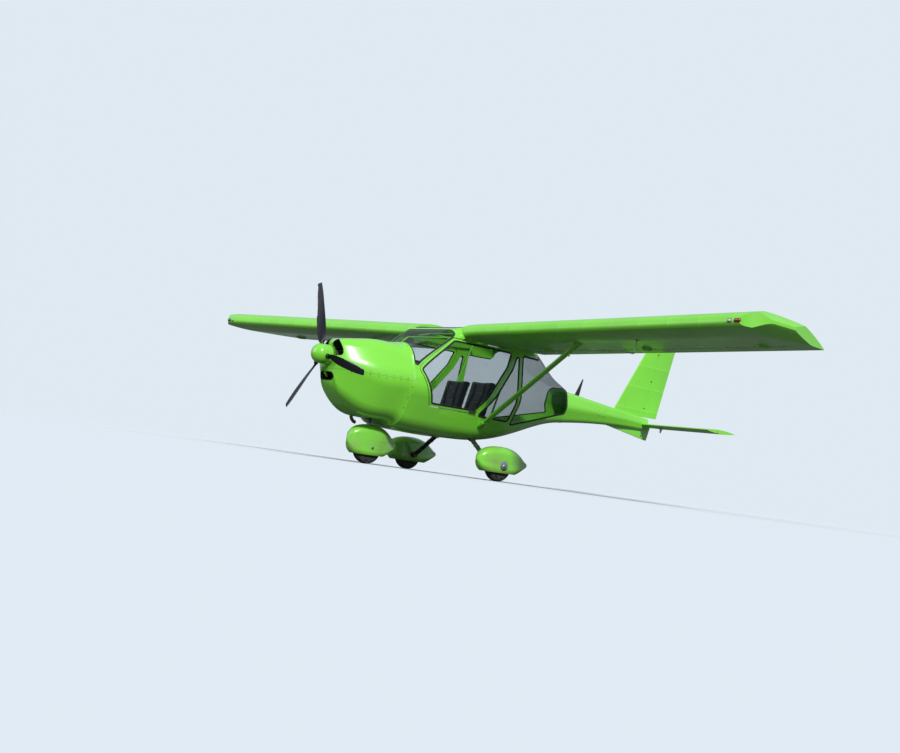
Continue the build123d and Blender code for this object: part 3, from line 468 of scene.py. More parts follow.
def tubeForm(points, radius, sides=12):
    frames = []
    turn = None
    for point, heading in zip(points, headings(points)):
        if turn is None:
            turn = heading.to_track_quat("Z", "Y")
        else:
            turn = oldHeading.rotation_difference(heading) @ turn
        oldHeading = heading
        frames.append(Matrix.Translation(point) @ turn.to_matrix().to_4x4())
    return sweptForm(frames, sides, radius, radius)


# a plate's outline in X and Y, stood up in the plane of symmetry
upright = along3((0, 1, 0), (0, 0, 1), (1, 0, 0))


def bentPath(points, radius, steps=5):
    # a polyline with its corners rounded
    points = [Vector(point) for point in points]
    path = [points[0]]
    for before, corner, after in zip(points, points[1:], points[2:]):
        start = corner + (before - corner).normalized() * min(radius, (before - corner).length / 2.01)
        end = corner + (after - corner).normalized() * min(radius, (after - corner).length / 2.01)
        for index in range(steps + 1):
            share = index / steps
            path.append(start.lerp(corner, share).lerp(corner.lerp(end, share), share))
    path.append(points[-1])
    return path


def facing(point, direction, spin=0.0):
    # a place whose Z points along a direction
    turn = Vector(direction).to_track_quat("Z", "Y").to_matrix().to_4x4()
    return Matrix.Translation(point) @ turn @ Matrix.Rotation(spin, 4, "Z")


class Piece:
    # a mesh in the making, in the row frame
    def __init__(self, name, body, *worn, slot=None):
        self.name = name
        self.body = body
        self.worn = worn
        self.slot = slot
        self.mesh = bmesh.new()

    def take(self, form, place=None, finish=0, smooth=True):
        if place is not None:
            bmesh.ops.transform(form, matrix=place, verts=form.verts)
            if place.determinant() < 0:
                bmesh.ops.reverse_faces(form, faces=form.faces)
        for face in form.faces:
            face.material_index = finish
            face.smooth = smooth
        kept = bpy.data.meshes.new("kept")
        form.to_mesh(kept)
        form.free()
        self.mesh.from_mesh(kept)
        bpy.data.meshes.remove(kept)
        return self

    def both(self, makeForm, place, finish=0):
        # the form at its place, and its mirror image on the other side
        self.take(makeForm(), place, finish)
        self.take(makeForm(), Matrix.Diagonal((-1, 1, 1, 1)) @ place, finish)
        return self

    def done(self, sharpAngle=35):
        data = bpy.data.meshes.new(self.name)
        self.mesh.to_mesh(data)
        self.mesh.free()
        for key in self.worn:
            data.materials.append(finishes[key])
        data.set_sharp_from_angle(angle=math.radians(sharpAngle))
        made = bpy.data.objects.new(self.name, data)
        bpy.context.scene.collection.objects.link(made)
        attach(made, self.body)
        return made


skins = {}


def skin(name):
    if name not in skins:
        data = nodes[name].data
        skins[name] = BVHTree.FromPolygons([v.co for v in data.vertices], [p.vertices for p in data.polygons])
    return skins[name]


def touch(names, origin, direction):
    # where a straight line first meets any of these nodes: the point, and the surface's own direction
    hits = [skin(name).ray_cast(Vector(origin), Vector(direction)) for name in names]
    hits = [hit for hit in hits if hit[0] is not None]
    if not hits:
        return None
    point, normal, _, _ = min(hits, key=lambda hit: hit[3])
    normal = normal.normalized()
    return point, -normal if normal.dot(Vector(direction)) > 0 else normal


def rims(name, sharpest=45):
    # the sharp edges of a node, chained into closed loops of points
    form = bmesh.new()
    form.from_mesh(nodes[name].data)
    bmesh.ops.remove_doubles(form, verts=form.verts, dist=2e-5)
    limit = math.radians(sharpest)
    # kept in the mesh's own order, so that each run starts its loops at the same points
    folds = (edge for edge in form.edges if len(edge.link_faces) == 2)
    sharp = dict.fromkeys(edge for edge in folds if edge.calc_face_angle(0.0) > limit)
    loops = []
    while sharp:
        edge = next(iter(sharp))
        del sharp[edge]
        loop = [edge.verts[0], edge.verts[1]]
        following = edge
        while following:
            following = next((e for e in loop[-1].link_edges if e in sharp), None)
            if following:
                del sharp[following]
                loop.append(following.other_vert(loop[-1]))
        if loop[0] is loop[-1] and len(loop) > 8:
            loops.append([vert.co.copy() for vert in loop[:-1]])
    form.free()
    return loops


def evenly(points, step):
    # a closed loop resampled at about equal steps
    ends = points[1:] + points[:1]
    lengths = [(b - a).length for a, b in zip(points, ends)]
    count = max(8, round(sum(lengths) / step))
    spacing = sum(lengths) / count
    found = []
    travelled = 0.0
    for a, b, length in zip(points, ends, lengths):
        while len(found) * spacing < travelled + length and len(found) < count:
            found.append(a.lerp(b, (len(found) * spacing - travelled) / max(length, 1e-9)))
        travelled += length
    return found


# Wing geometry, as the frame has it
wingLine = {
    "rootX": 0.540, "edgeY": -1.400, "edgeZ": 1.690, "sweep": -2.3, "rise": 1.5, "drop": 2.0, "chord": 1.4,
}


def wingPoint(x, along, up=0.0, side=1):
    # a point of the wing's section at x: shares of the chord aft and up
    out = x - wingLine["rootX"]
    drop = math.radians(wingLine["drop"])
    aft, high = along * wingLine["chord"], up * wingLine["chord"]
    y = wingLine["edgeY"] + out * math.tan(math.radians(wingLine["sweep"]))
    z = wingLine["edgeZ"] + out * math.tan(math.radians(wingLine["rise"]))
    y += aft * math.cos(drop) + high * math.sin(drop)
    z += high * math.cos(drop) - aft * math.sin(drop)
    return Vector((side * x, y, z))


def screwForm(radius=0.006, height=0.002):
    rim = [(0, height), (radius * 0.7, height * 0.9), (radius, height * 0.2), (radius, -height), (0, -height)]
    return turnedForm(rim, 10)


# Rubber strips round the glazing
sealSize = {"width": 0.012, "height": 0.0035, "step": 0.03, "axisZ": 1.0, "inward": 0.010}


def fromAxis(point):
    return Vector((point.x, 0, point.z - sealSize["axisZ"]))


def outerRim(glassName, step):
    # of a pane's rims, the one that lies farthest from the pod's axis
    loops = rims(glassName)
    reach = [sum(fromAxis(point).length for point in loop) / len(loop) for loop in loops]
    return evenly(loops[reach.index(max(reach))], step)


def makeSeal(glassName, body):
    piece = Piece(glassName + "_seal", body, "sealRubber")
    outer = outerRim(glassName, sealSize["step"])
    middle = sum(outer, Vector()) / len(outer)
    frames = []
    for point, heading in zip(outer, headings(outer, True)):
        near = skin(glassName).find_nearest(point + (middle - point).normalized() * sealSize["inward"])
        normal = near[1]
        if normal.dot(fromAxis(point)) < 0:
            normal = -normal
        sideways = normal.cross(heading).normalized()
        normal = heading.cross(sideways).normalized()
        frames.append(Matrix.Translation(point) @ along3(sideways, normal, heading))
    piece.take(sweptForm(frames, 8, sealSize["width"], sealSize["height"], math.pi / 8, True))
    piece.done(50)


for glassName, body in paneBodies.items():
    makeSeal(glassName, body)
print("glazing strips made")


# Tyres: a turned carcass with three grooves round it and moulded side bands
tyreSize = {"radius": 0.190, "halfWidth": 0.060, "seat": 0.0885, "grooveDepth": 0.005, "steps": 96}


def makeTyre(place, body):
    x, y = wheelPlaces[place]
    outer, half, deep = tyreSize["radius"], tyreSize["halfWidth"], tyreSize["grooveDepth"]
    crown = []
    for middle in (0.36, 0.0):
        for offset, drop in ((0.075, 0), (0.05, deep), (-0.05, deep), (-0.075, 0)):
            share = middle + offset
            crown.append((outer - drop - 0.012 * share * share, share * half))
    halfCrown = crown[:6]
    shoulder = [(outer - 0.004, 0.55 * half), (outer - 0.013, 0.76 * half), (outer - 0.017, 0.80 * half),
                (outer - 0.022, 0.80 * half), (outer - 0.03, 0.88 * half), (outer - 0.045, 0.975 * half),
                (outer - 0.06, half), (outer - 0.078, 0.985 * half), (outer - 0.08, 0.96 * half),
                (outer - 0.084, 0.955 * half), (0.097, 0.80 * half), (0.091, 0.77 * half),
                (tyreSize["seat"], 0.74 * half)]
    upper = shoulder[::-1] + halfCrown
    profile = upper + [(radius, -across) for radius, across in upper[::-1]]
    piece = Piece("tread_tyre_" + place, body, "rubber", slot="tyre")
    piece.take(turnedForm(profile, tyreSize["steps"], True), facing((x, y, outer), (1, 0, 0)))
    made = piece.done(28)
    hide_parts("tyre_" + place)


wheelPlaces = {"nose": (0.0, -2.180), "port": (0.850, -0.880), "starboard": (-0.850, -0.880)}
wheelBodies = {"nose": "nose_wheel", "port": "main_wheel_port", "starboard": "main_wheel_starboard"}
for place, body in wheelBodies.items():
    makeTyre(place, body)

def boltForm(top, across, washer):
    # a hexagon head with its edge broken, on a washer
    profile = [(0, 0.006), (top, 0.006), (across, 0.005), (across, 0), (washer, 0), (washer, -0.001)]
    return turnedForm([*profile, (0, -0.001)], 6)


# What is bolted to each rim: a ring of bolts on either side, and a valve
rimFittings = {"boltRing": 0.058, "bolts": 6, "webFace": 0.0125, "valveRing": 0.072}


def makeRimFittings(place, body):
    x, y = wheelPlaces[place]
    centre = Vector((x, y, tyreSize["radius"]))
    piece = Piece("rim_bolts_" + place, body, "steel", "black", slot="wheel_metal")
    for side in (1, -1):
        for index in range(rimFittings["bolts"]):
            angle = math.tau * index / rimFittings["bolts"]
            around = Vector((0, math.cos(angle), math.sin(angle))) * rimFittings["boltRing"]
            start = centre + around + Vector((side * rimFittings["webFace"], 0, 0))
            piece.take(boltForm(0.0052, 0.006, 0.009), facing(start, (side, 0, 0)))
    valve = [(0, 0.022), (0.003, 0.022), (0.003, 0.012), (0.0042, 0.011), (0.0042, -0.002), (0, -0.002)]
    foot = centre + Vector((rimFittings["webFace"], 0, rimFittings["valveRing"]))
    piece.take(turnedForm(valve, 12), facing(foot, (1, 0, -0.25)), 1)
    piece.done()


for place, body in wheelBodies.items():
    makeRimFittings(place, body)
print("wheels dressed")


# A thin plate that follows a CAD surface: rings of a rounded outline cast onto the skin
def outlineOf(width, height, corner, steps=6):
    points = []
    corner = min(corner, width / 2, height / 2)
    for index, (signX, signY) in enumerate(((1, 1), (-1, 1), (-1, -1), (1, -1))):
        for step in range(steps + 1):
            angle = (index + step / steps) * math.pi / 2
            x = signX * (width / 2 - corner) + corner * math.cos(angle)
            y = signY * (height / 2 - corner) + corner * math.sin(angle)
            points.append((x, y))
    return points


def skinPatch(names, centre, inward, across, size, corner, rise=0.0015, hole=0.0):
    # centre is outside the skin, inward points at it, across is the plate's width direction
    inward = Vector(inward).normalized()
    across = (Vector(across) - inward * Vector(across).dot(inward)).normalized()
    upward = across.cross(inward).normalized()
    outline = outlineOf(*size, corner)
    shares = [1.0, 0.995, 0.985, 0.8, 0.55, 0.3] if not hole else [1.0, 0.99, 0.97, hole + 0.02, hole]
    form = bmesh.new()
    rings = []
    for index, share in enumerate(shares):
        ring = []
        for x, y in outline:
            start = Vector(centre) + across * x * share + upward * y * share
            hit = touch(names, start, inward)
            if hit is None:
                form.free()
                return None
            point, normal = hit
            lift = (-0.002, rise * 0.7)[index] if index < 2 else rise
            if hole and index == len(shares) - 1:
                lift = -0.002
            ring.append(form.verts.new(point + normal * lift))
        rings.append(ring)
    count = len(outline)
    for first, second in zip(rings, rings[1:]):
        for index in range(count):
            after = (index + 1) % count
            form.faces.new((first[index], first[after], second[after], second[index]))
    if not hole:
        form.faces.new(rings[-1])
    bmesh.ops.recalc_face_normals(form, faces=form.faces)
    if form.faces[len(form.faces) // 2].normal.dot(inward) > 0:
        bmesh.ops.reverse_faces(form, faces=form.faces)
    return form


def fastenerForm(radius=0.0072):
    # a quarter-turn stud in its washer
    rim = [(0, 0.0012), (radius * 0.45, 0.0012), (radius * 0.5, 0.0004), (radius * 0.6, 0.0004),
           (radius * 0.66, 0.0019), (radius * 0.86, 0.0017), (radius, 0.0004), (radius, -0.0015)]
    return turnedForm(rim, 12)


def studOn(piece, names, origin, direction, radius=0.0072, finish=0):
    hit = touch(names, origin, direction)
    if hit is None:
        return
    piece.take(fastenerForm(radius), facing(*hit), finish)


# Cowling: studs along the seam and round the firewall edge
cowlFit = {
    "seamZ": 1.010, "seamStep": 0.088, "seamFrom": -2.76, "seamStuds": 8, "seamGap": 0.016,
    "ringY": -2.076, "ringCount": 26, "ringHeight": 1.0, "reach": 1.5,
}


def makeCowlStuds():
    piece = Piece("cowl_studs", "airframe", "steel", slot="wheel_metal")
    for side in (1, -1):
        for index in range(cowlFit["seamStuds"]):
            y = cowlFit["seamFrom"] + index * cowlFit["seamStep"]
            for name, way in (("cowl_upper", 1), ("cowl_lower", -1)):
                z = cowlFit["seamZ"] + way * cowlFit["seamGap"]
                studOn(piece, [name], (side * cowlFit["reach"], y, z), (-side, 0, 0), 0.006)
    for index in range(cowlFit["ringCount"]):
        angle = math.tau * (index + 0.5) / cowlFit["ringCount"]
        out = Vector((math.cos(angle), 0, math.sin(angle)))
        origin = Vector((0, cowlFit["ringY"], cowlFit["ringHeight"])) + out * cowlFit["reach"]
        studOn(piece, ["cowl_upper", "cowl_lower"], origin, -out)
    piece.done()


makeCowlStuds()

# Edge trim of the cheek, chin and shaft openings
intake = {"behind": -2.60, "widest": 0.34, "trim": 0.0032, "step": 0.012}


def makeIntakeTrims():
    piece = Piece("intake_trims", "airframe", "sealRubber")
    for name in ("cowl_upper", "cowl_lower"):
        found = {}
        for loop in rims(name, 30):
            middle = sum(loop, Vector()) / len(loop)
            reach = max((point - middle).length for point in loop)
            key = round(middle.x / 0.05)
            if middle.y < intake["behind"] and reach < intake["widest"] / 2:
                if key not in found or middle.y < found[key][0]:
                    found[key] = (middle.y, loop)
        print(name, "openings trimmed:", len(found))
        for _, loop in found.values():
            points = evenly(loop, intake["step"])
            frames = [facing(point, heading) for point, heading in zip(points, headings(points, True))]
            piece.take(sweptForm(frames, 8, intake["trim"], intake["trim"], 0.0, True))
    piece.done(60)


makeIntakeTrims()

# The cooler's fins and tubes behind the chin opening
cooler = {
    "width": 0.264, "low": 0.800, "high": 0.936, "face": -2.7655,
    "fins": 58, "fin": 0.0012, "rows": 9, "row": 0.004, "tank": 0.012,
}


def makeCooler():
    piece = Piece("cooler_core", "airframe", "casting", "steel")
    width, low, face = cooler["width"], cooler["low"], cooler["face"]
    height = cooler["high"] - low
    for index in range(cooler["fins"]):
        x = width * ((index + 0.5) / cooler["fins"] - 0.5)
        fin = blockForm((cooler["fin"], 0.006, height))
        piece.take(fin, at(x, face - 0.001, low + height / 2), smooth=False)
    for index in range(cooler["rows"]):
        z = low + height * (index + 0.5) / cooler["rows"]
        piece.take(blockForm((width, 0.008, cooler["row"]), 0.0015), at(0, face - 0.001, z), 1)
    for z in (low - 0.004, cooler["high"] + 0.004):
        piece.take(blockForm((width + cooler["tank"], 0.014, cooler["tank"]), 0.004), at(0, face, z), 1)
    piece.done()


makeCooler()

# Panels let into the skins, each with a screw near its corners
panels = {
    # node below it, centre outside, inward, across, width and height, corner
    "oil_door": ("cowl_upper", (-0.13, -2.36, 2.0), (0, 0, -1), (1, 0, 0), (0.13, 0.11), 0.02),
    "boom_cover": ("tail_boom", (1.0, 1.55, 1.09), (-1, 0, 0), (0, 1, 0), (0.16, 0.10), 0.02),
    "belly_cover": ("cabin_shell", (0.0, -0.55, -0.5), (0, 0, 1), (1, 0, 0), (0.26, 0.20), 0.03),
}


def makePanels():
    studs = Piece("cover_screws", "airframe", "steel", slot="wheel_metal")
    for name, (below, centre, inward, across, size, corner) in panels.items():
        plate = skinPatch([below], centre, inward, across, size, corner)
        Piece(name, "airframe", "paint", slot="lime_paint").take(plate).done()
        across = Vector(across)
        upward = across.cross(Vector(inward))
        for signX in (-1, 1):
            for signY in (-1, 1):
                shift = across * signX * (size[0] / 2 - 0.014) + upward * signY * (size[1] / 2 - 0.014)
                point, normal = touch([below], Vector(centre) + shift, inward)
                studs.take(fastenerForm(0.0052), facing(point + normal * 0.0015, normal))
    studs.done()


makePanels()


# Under each wing round inspection rings and drain grommets, and a filler cap on top
wingFit = {
    "ringXs": (0.98, 1.75, 2.56, 3.35, 4.14), "ringAlong": 0.70, "ringSize": 0.096, "start": -0.3,
    "drains": 11, "drainFrom": 0.74, "drainStep": 0.361, "drainAlong": 0.765, "drainSize": 0.018,
    "tipX": 4.4, "tipAlong": 0.90, "filler": (0.86, 0.30, 0.5),
}


def wingCovers():
    for sideName, side in sides.items():
        below = ["wing_" + sideName]

        def patch(x, along, size, *more):
            point = wingPoint(x, along, wingFit["start"], side)
            return skinPatch(below, point, (0, 0, 1), (1, 0, 0), (size, size), size / 2, *more)

        rings = Piece("wing_covers_" + sideName, "airframe", "paint", "sealRubber", slot="lime_fabric")
        for x in wingFit["ringXs"]:
            rings.take(patch(x, wingFit["ringAlong"], wingFit["ringSize"], 0.0014))
        for index in range(wingFit["drains"]):
            x = wingFit["drainFrom"] + index * wingFit["drainStep"]
            along = wingFit["drainAlong"] if x < wingFit["tipX"] else wingFit["tipAlong"]
            grommet = patch(x, along, wingFit["drainSize"], 0.002, 0.4)
            if grommet:
                rings.take(grommet, None, 1)
        rings.done()
        filler = Piece("filler_cap_" + sideName, "airframe", "alloy", "sealRubber", slot="wheel_metal")
        place = facing(*touch(below, wingPoint(*wingFit["filler"], side), (0, 0, -1)))
        cap = [(0, 0.010), (0.016, 0.010), (0.018, 0.007), (0.030, 0.0065), (0.032, 0.003),
               (0.040, 0.0025), (0.044, 0.0005), (0.044, -0.003)]
        filler.take(turnedForm(cap, 40), place)
        filler.take(blockForm((0.034, 0.007, 0.006), 0.002), place @ at(0, 0, 0.0105))
        ring = [(0.044, 0.002), (0.050, 0.0018), (0.051, -0.002), (0.044, -0.002)]
        filler.take(turnedForm(ring, 40, True), place, 1)
        filler.done()


wingCovers()
print("covers and studs made")


# Lamps: coloured lenses at the wing tips, a strobe beside each, a tail lamp and a belly beacon
def lensForm(length, width, height, rings=8, steps=24):
    # a streamlined dome standing on Z = 0, long along X
    angles = [math.pi / 2 * index / rings for index in range(rings + 1)]
    dome = [(max(math.cos(angle), 0.0), math.sin(angle)) for angle in angles]
    form = turnedForm([(1.0, -0.25)] + dome, steps)
    bmesh.ops.scale(form, vec=(length / 2, width / 2, height), verts=form.verts)
    return form


tipLamps = {
    # distance out, length, width, height, finish to port and to starboard
    "tip_lamp_": (4.56, 0.070, 0.034, 0.020, "redLens", "greenLens"),
    "tip_strobe_": (4.47, 0.050, 0.032, 0.018, "clearLens", "clearLens"),
}
lampSpots = {}
for name, (x, length, width, height, *worn) in tipLamps.items():
    for (sideName, side), finish in zip(sides.items(), worn):
        origin = (side * x, -3.2, None)
        lampSpots[name + sideName] = ("wing_" + sideName, origin, aft, length, width, height, finish)
# node, origin with the wing's own height as None, direction, length, width, height, finish
lampSpots["belly_beacon"] = ("cabin_shell", (0, -0.18, -0.5), (0, 0, 1), 0.070, 0.060, 0.042, "redLens")
lampSpots["tail_lamp"] = ("tail_boom", (0, 3.0, 1.055), (0, -1, 0), 0.036, 0.036, 0.024, "clearLens")


def makeLamps():
    for name, (below, origin, direction, length, width, height, worn) in lampSpots.items():
        if origin[2] is None:
            origin = (*origin[:2], wingPoint(abs(origin[0]), 0.0, 0.004).z)
        piece = Piece(name, "airframe", worn, "black")
        place = facing(*touch([below], origin, direction), math.pi / 2 if abs(direction[2]) > 0.5 else 0.0)
        piece.take(lensForm(length, width, height), place)
        collar = outlineOf(length * 1.16, width * 1.22, width * 0.55, 8)
        piece.take(plateForm(collar, 0.006, 0.0018), place @ at(0, 0, -0.0035), 1)
        piece.done()


makeLamps()

# The pitot tube below the port wing, and a blade aerial on the boom
pitot = {"x": 2.95, "along": 0.30, "drop": 0.16, "ahead": 0.24, "radius": 0.0065}


def makePitot():
    piece = Piece("pitot_tube", "airframe", "alloy", "black", slot="wheel_metal")
    hit = touch(["wing_port"], wingPoint(pitot["x"], pitot["along"], -0.3), (0, 0, 1))
    top = hit[0] + Vector((0, 0, 0.01))
    low = top - Vector((0, 0.02, pitot["drop"]))
    nose = low - Vector((0, pitot["ahead"], 0))
    piece.take(tubeForm(bentPath([top, low, nose], 0.03), pitot["radius"], 14))
    tip = [(0, -0.004), (0.0035, 0), (0.0035, 0.004), (0.0075, 0.001), (0.0085, -0.012), (0.0085, -0.030),
           (0.0066, -0.034)]
    piece.take(turnedForm(tip, 20), facing(nose, (0, -1, 0)))
    base = [(0, 0.0), (0.010, 0.0), (0.014, -0.003), (0.024, -0.005), (0.025, -0.010), (0, -0.010)]
    piece.take(turnedForm(base, 24), facing(hit[0] - Vector((0, 0, 0.006)), (0, 0, -1)), 1)
    piece.done()
    aerial = Piece("blade_aerial", "airframe", "black", "alloy")
    hit = touch(["tail_boom"], (0, 1.15, 2.0), (0, 0, -1))
    foot = hit[0]
    blade = [(-0.035, -0.004), (0.055, -0.004), (0.105, 0.235), (0.085, 0.24)]
    place = Matrix.Translation(foot) @ upright
    aerial.take(plateForm(blade, 0.007, 0.003, 3), place @ at(0, 0, -0.0035))
    base = facing(foot - Vector((0, 0, 0.001)), (0, 0, 1), math.pi / 2)
    aerial.take(plateForm(outlineOf(0.11, 0.04, 0.02), 0.005, 0.0015), base, 1)
    aerial.done()


makePitot()
print("lamps and aerials made")


# Screws along the edges of each pane
paneScrews = {"step": 0.105, "inward": 0.017, "radius": 0.0042}


def makePaneScrews(glassName, body):
    piece = Piece(glassName + "_screws", body, "steel", slot="wheel_metal")
    outer = outerRim(glassName, paneScrews["step"])
    for point, heading in zip(outer, headings(outer, True)):
        outward = fromAxis(point).normalized()
        aside = heading.cross(outward).normalized() * paneScrews["inward"]
        hits = [skin(glassName).find_nearest(point + aside * way + outward * 0.002) for way in (1, -1)]
        near, normal, _, _ = min(hits, key=lambda hit: hit[3])
        if normal.dot(outward) > 0.2:
            piece.take(screwForm(paneScrews["radius"], 0.0014), facing(near, normal))
    piece.done()


for glassName, body in paneBodies.items():
    makePaneScrews(glassName, body)

# Propeller: a metal strip on the outer half of each leading edge, a collar at each root,
# and screws round the spinner
prop = {
    "centre": Vector((0, -2.985, 1.160)), "lean": 17, "blades": 3,
    "strip": (0.0065, 0.0019), "stripIn": 0.0045,
    "spinner": 0.112, "screwAft": 0.060, "screwTurns": (30, 60, 90),
    "rows": [(0.46, 22.5), (0.50, 21), (0.56, 19.2), (0.62, 17.4), (0.70, 15), (0.76, 13.8), (0.815, 12.7)],
}


def makePropTrim():
    strips = Piece("blade_edges", "propeller", "alloy", "black", slot="hub_metal")
    screws = Piece("spinner_screws", "propeller", "steel", slot="hub_metal")
    for index in range(prop["blades"]):
        angle = math.tau * index / prop["blades"] - math.radians(prop["lean"])
        place = Matrix.Translation(prop["centre"]) @ Matrix.Rotation(angle, 4, "Y")
        turned = place.to_3x3()
        frames = []
        for radius, pitch in prop["rows"]:
            turn = math.radians(pitch)
            chordwise = turned @ Vector((-math.cos(turn), -math.sin(turn), 0))
            normal = turned @ Vector((math.sin(turn), -math.cos(turn), 0))
            outward = turned @ Vector((0, 0, 1))
            hit = touch(["propeller"], place @ Vector((0, 0, radius)) + chordwise * 0.12, -chordwise)
            if hit:
                turnTo = along3(chordwise, normal, outward)
                frames.append(Matrix.Translation(hit[0] - chordwise * prop["stripIn"]) @ turnTo)
        strips.take(sweptForm(frames, 10, *prop["strip"]))
        collar = [(0.0242, 0.116), (0.0268, 0.117), (0.0268, 0.126), (0.0242, 0.128)]
        strips.take(turnedForm(collar, 28, True), place, 1)
        for offset in prop["screwTurns"]:
            out = Matrix.Rotation(angle + math.radians(offset), 3, "Y") @ Vector((0, 0, 1))
            seat = prop["centre"] + out * prop["spinner"] + Vector((0, prop["screwAft"], 0))
            screws.take(screwForm(0.0048, 0.0014), facing(seat, out))
    strips.done()
    screws.done()


makePropTrim()

# Brakes, axle nuts and the plates over the nuts
running = {
    "wheelX": 0.850, "wheelY": -0.880, "axleZ": 0.190, "noseY": -2.180, "noseEnd": 0.112,
    "discIn": 0.0285, "discOut": 0.0325, "discRadius": 0.064, "pipe": 0.0032,
    "outside": 1.3, "plateRing": 0.046,
}


def washerForm(bore=0.0):
    return turnedForm([(bore, 0), (0.019, 0), (0.019, 0.0025), (bore, 0.0025)], 32, bool(bore))


def hexForm(bore=0.0, across=0.0155, tall=0.0115):
    profile = [(bore, 0.002), (across, 0.002), (across, tall - 0.002), (across * 0.86, tall), (bore, tall)]
    return turnedForm(profile, 6, bool(bore))


def makeRunningGear():
    for sideName, side in sides.items():
        centre = Vector((side * running["wheelX"], running["wheelY"], running["axleZ"]))
        inboard = facing(centre, (-side, 0, 0))
        disc = Piece("brake_disc_" + sideName, "main_wheel_" + sideName, "steel", slot="wheel_metal")
        low, high, rim = running["discIn"], running["discOut"], running["discRadius"]
        bell = [(0.0243, 0.0125), (0.034, 0.0125), (0.036, low), (rim, low), (rim, high), (0.0243, high)]
        disc.take(turnedForm(bell, 48, True), inboard)
        disc.done()
        caliper = Piece("brake_caliper_" + sideName, "airframe", "casting", "steel", slot="engine_metal")
        behind = centre + Vector((0, 0.053, 0))
        for start, end, across in ((0.0385, 0.062, 0.034), (0.018, 0.0235, 0.030)):
            middle = behind - Vector((side * (start + end) / 2, 0, 0))
            caliper.take(blockForm((end - start, across, 0.046), 0.003), Matrix.Translation(middle))
        bridge = behind + Vector((-side * 0.040, 0.0155, 0))
        caliper.take(blockForm((0.044, 0.003, 0.040), 0.001), Matrix.Translation(bridge))
        plate = [(0.0125, 0.060), (0.040, 0.060), (0.040, 0.065), (0.0125, 0.065)]
        caliper.take(turnedForm(plate, 32, True), inboard, 1)
        bracket = Matrix.Translation(behind - Vector((side * 0.0625, 0.012, 0)))
        caliper.take(blockForm((0.005, 0.045, 0.040), 0.001), bracket, 1)
        spacer = [(0.0115, 0.064), (0.017, 0.064), (0.017, 0.104), (0.0115, 0.104)]
        caliper.take(turnedForm(spacer, 24, True), inboard, 1)
        caliper.done()
        nut = Piece("axle_nut_" + sideName, "airframe", "steel", slot="wheel_metal")
        outer = facing((side * 0.9598, running["wheelY"], running["axleZ"]), (side, 0, 0))
        nut.take(washerForm(), outer).take(hexForm(), outer, smooth=False)
        nut.done()
        # a plate with a hole over the nut, and its ring of screws
        below = ["spat_" + sideName]
        outside = Vector((side * running["outside"], running["wheelY"], running["axleZ"]))
        trim = Piece("spat_plate_" + sideName, "airframe", "alloy", "steel", slot="wheel_metal")
        trim.take(skinPatch(below, outside, (-side, 0, 0), (0, 1, 0), (0.120, 0.120), 0.060, 0.0016, 0.36))
        for index in range(6):
            angle = math.tau * (index + 0.5) / 6
            around = Vector((0, math.cos(angle), math.sin(angle))) * running["plateRing"]
            studOn(trim, below, outside + around, (-side, 0, 0), 0.0055, 1)
        trim.done()
    nose = Piece("axle_nuts_nose", "nose_steering", "steel", slot="wheel_metal")
    for side in (1, -1):
        end = side * (running["noseEnd"] - 0.0022)
        outer = facing((end, running["noseY"], running["axleZ"]), (side, 0, 0))
        nose.take(washerForm(0.0062), outer).take(hexForm(0.0062), outer, smooth=False)
    nose.done()


makeRunningGear()

# Domed ends on the wheel fairings, over the flats where their shells close
spatEnds = {"thin": 0.0001, "nose": 0.017, "tail": 0.026, "rings": 7, "step": 0.006}


def domeForm(outline, direction, depth, rings):
    form = bmesh.new()
    face = form.faces.new([form.verts.new(point) for point in outline])
    form.normal_update()
    if face.normal.dot(direction) < 0:
        face.normal_flip()
    middle = sum(outline, Vector()) / len(outline)
    share, reached = 1.0, 0.0
    for ring in range(1, rings + 1):
        nextShare = max(1.0 - ring / rings, 0.03)
        nextReach = depth * (1.0 - nextShare ** 2)
        grown = bmesh.ops.extrude_face_region(form, geom=[face])["geom"]
        bmesh.ops.delete(form, geom=[face], context="FACES_ONLY")
        face = next(part for part in grown if isinstance(part, bmesh.types.BMFace))
        place = Matrix.Translation(-middle)
        bmesh.ops.scale(form, vec=(nextShare / share,) * 3, space=place, verts=face.verts)
        bmesh.ops.translate(form, vec=direction * (nextReach - reached), verts=face.verts)
        middle = middle + direction * (nextReach - reached)
        share, reached = nextShare, nextReach
    return form


def flatOutline(name, end):
    # the outline of a node's flat end, the first or the last along its length
    places = {tuple(round(value, 5) for value in vertex.co) for vertex in nodes[name].data.vertices}
    edge = (min if end < 0 else max)(place[1] for place in places)
    ring = [Vector(place) for place in places if abs(place[1] - edge) < spatEnds["thin"]]
    middle = sum(ring, Vector()) / len(ring)
    return sorted(ring, key=lambda point: math.atan2(point.z - middle.z, point.x - middle.x))


def makeSpatEnds():
    bodies = {"spat_port": "airframe", "spat_starboard": "airframe", "nose_spat": "nose_steering"}
    for name, body in bodies.items():
        piece = Piece(name + "_ends", body, "spatPaint", slot="lime_paint")
        for end, depth in ((-1, spatEnds["nose"]), (1, spatEnds["tail"])):
            outline = evenly(flatOutline(name, end), spatEnds["step"])
            piece.take(domeForm(outline, Vector((0, end, 0)), depth, spatEnds["rings"]))
        piece.done(60)


makeSpatEnds()

# Legs: a rubber boot at the root, a collar at the axle, and the brake pipe with its clips
legs = {
    "top": Vector((0.250, -0.880, 0.520)), "foot": Vector((0.705, -0.880, 0.194)), "back": 0.0405,
    "boot": (0.104, 0.046), "bootLong": 0.060, "clip": (0.090, 0.0285), "clips": (0.30, 0.5, 0.7),
}


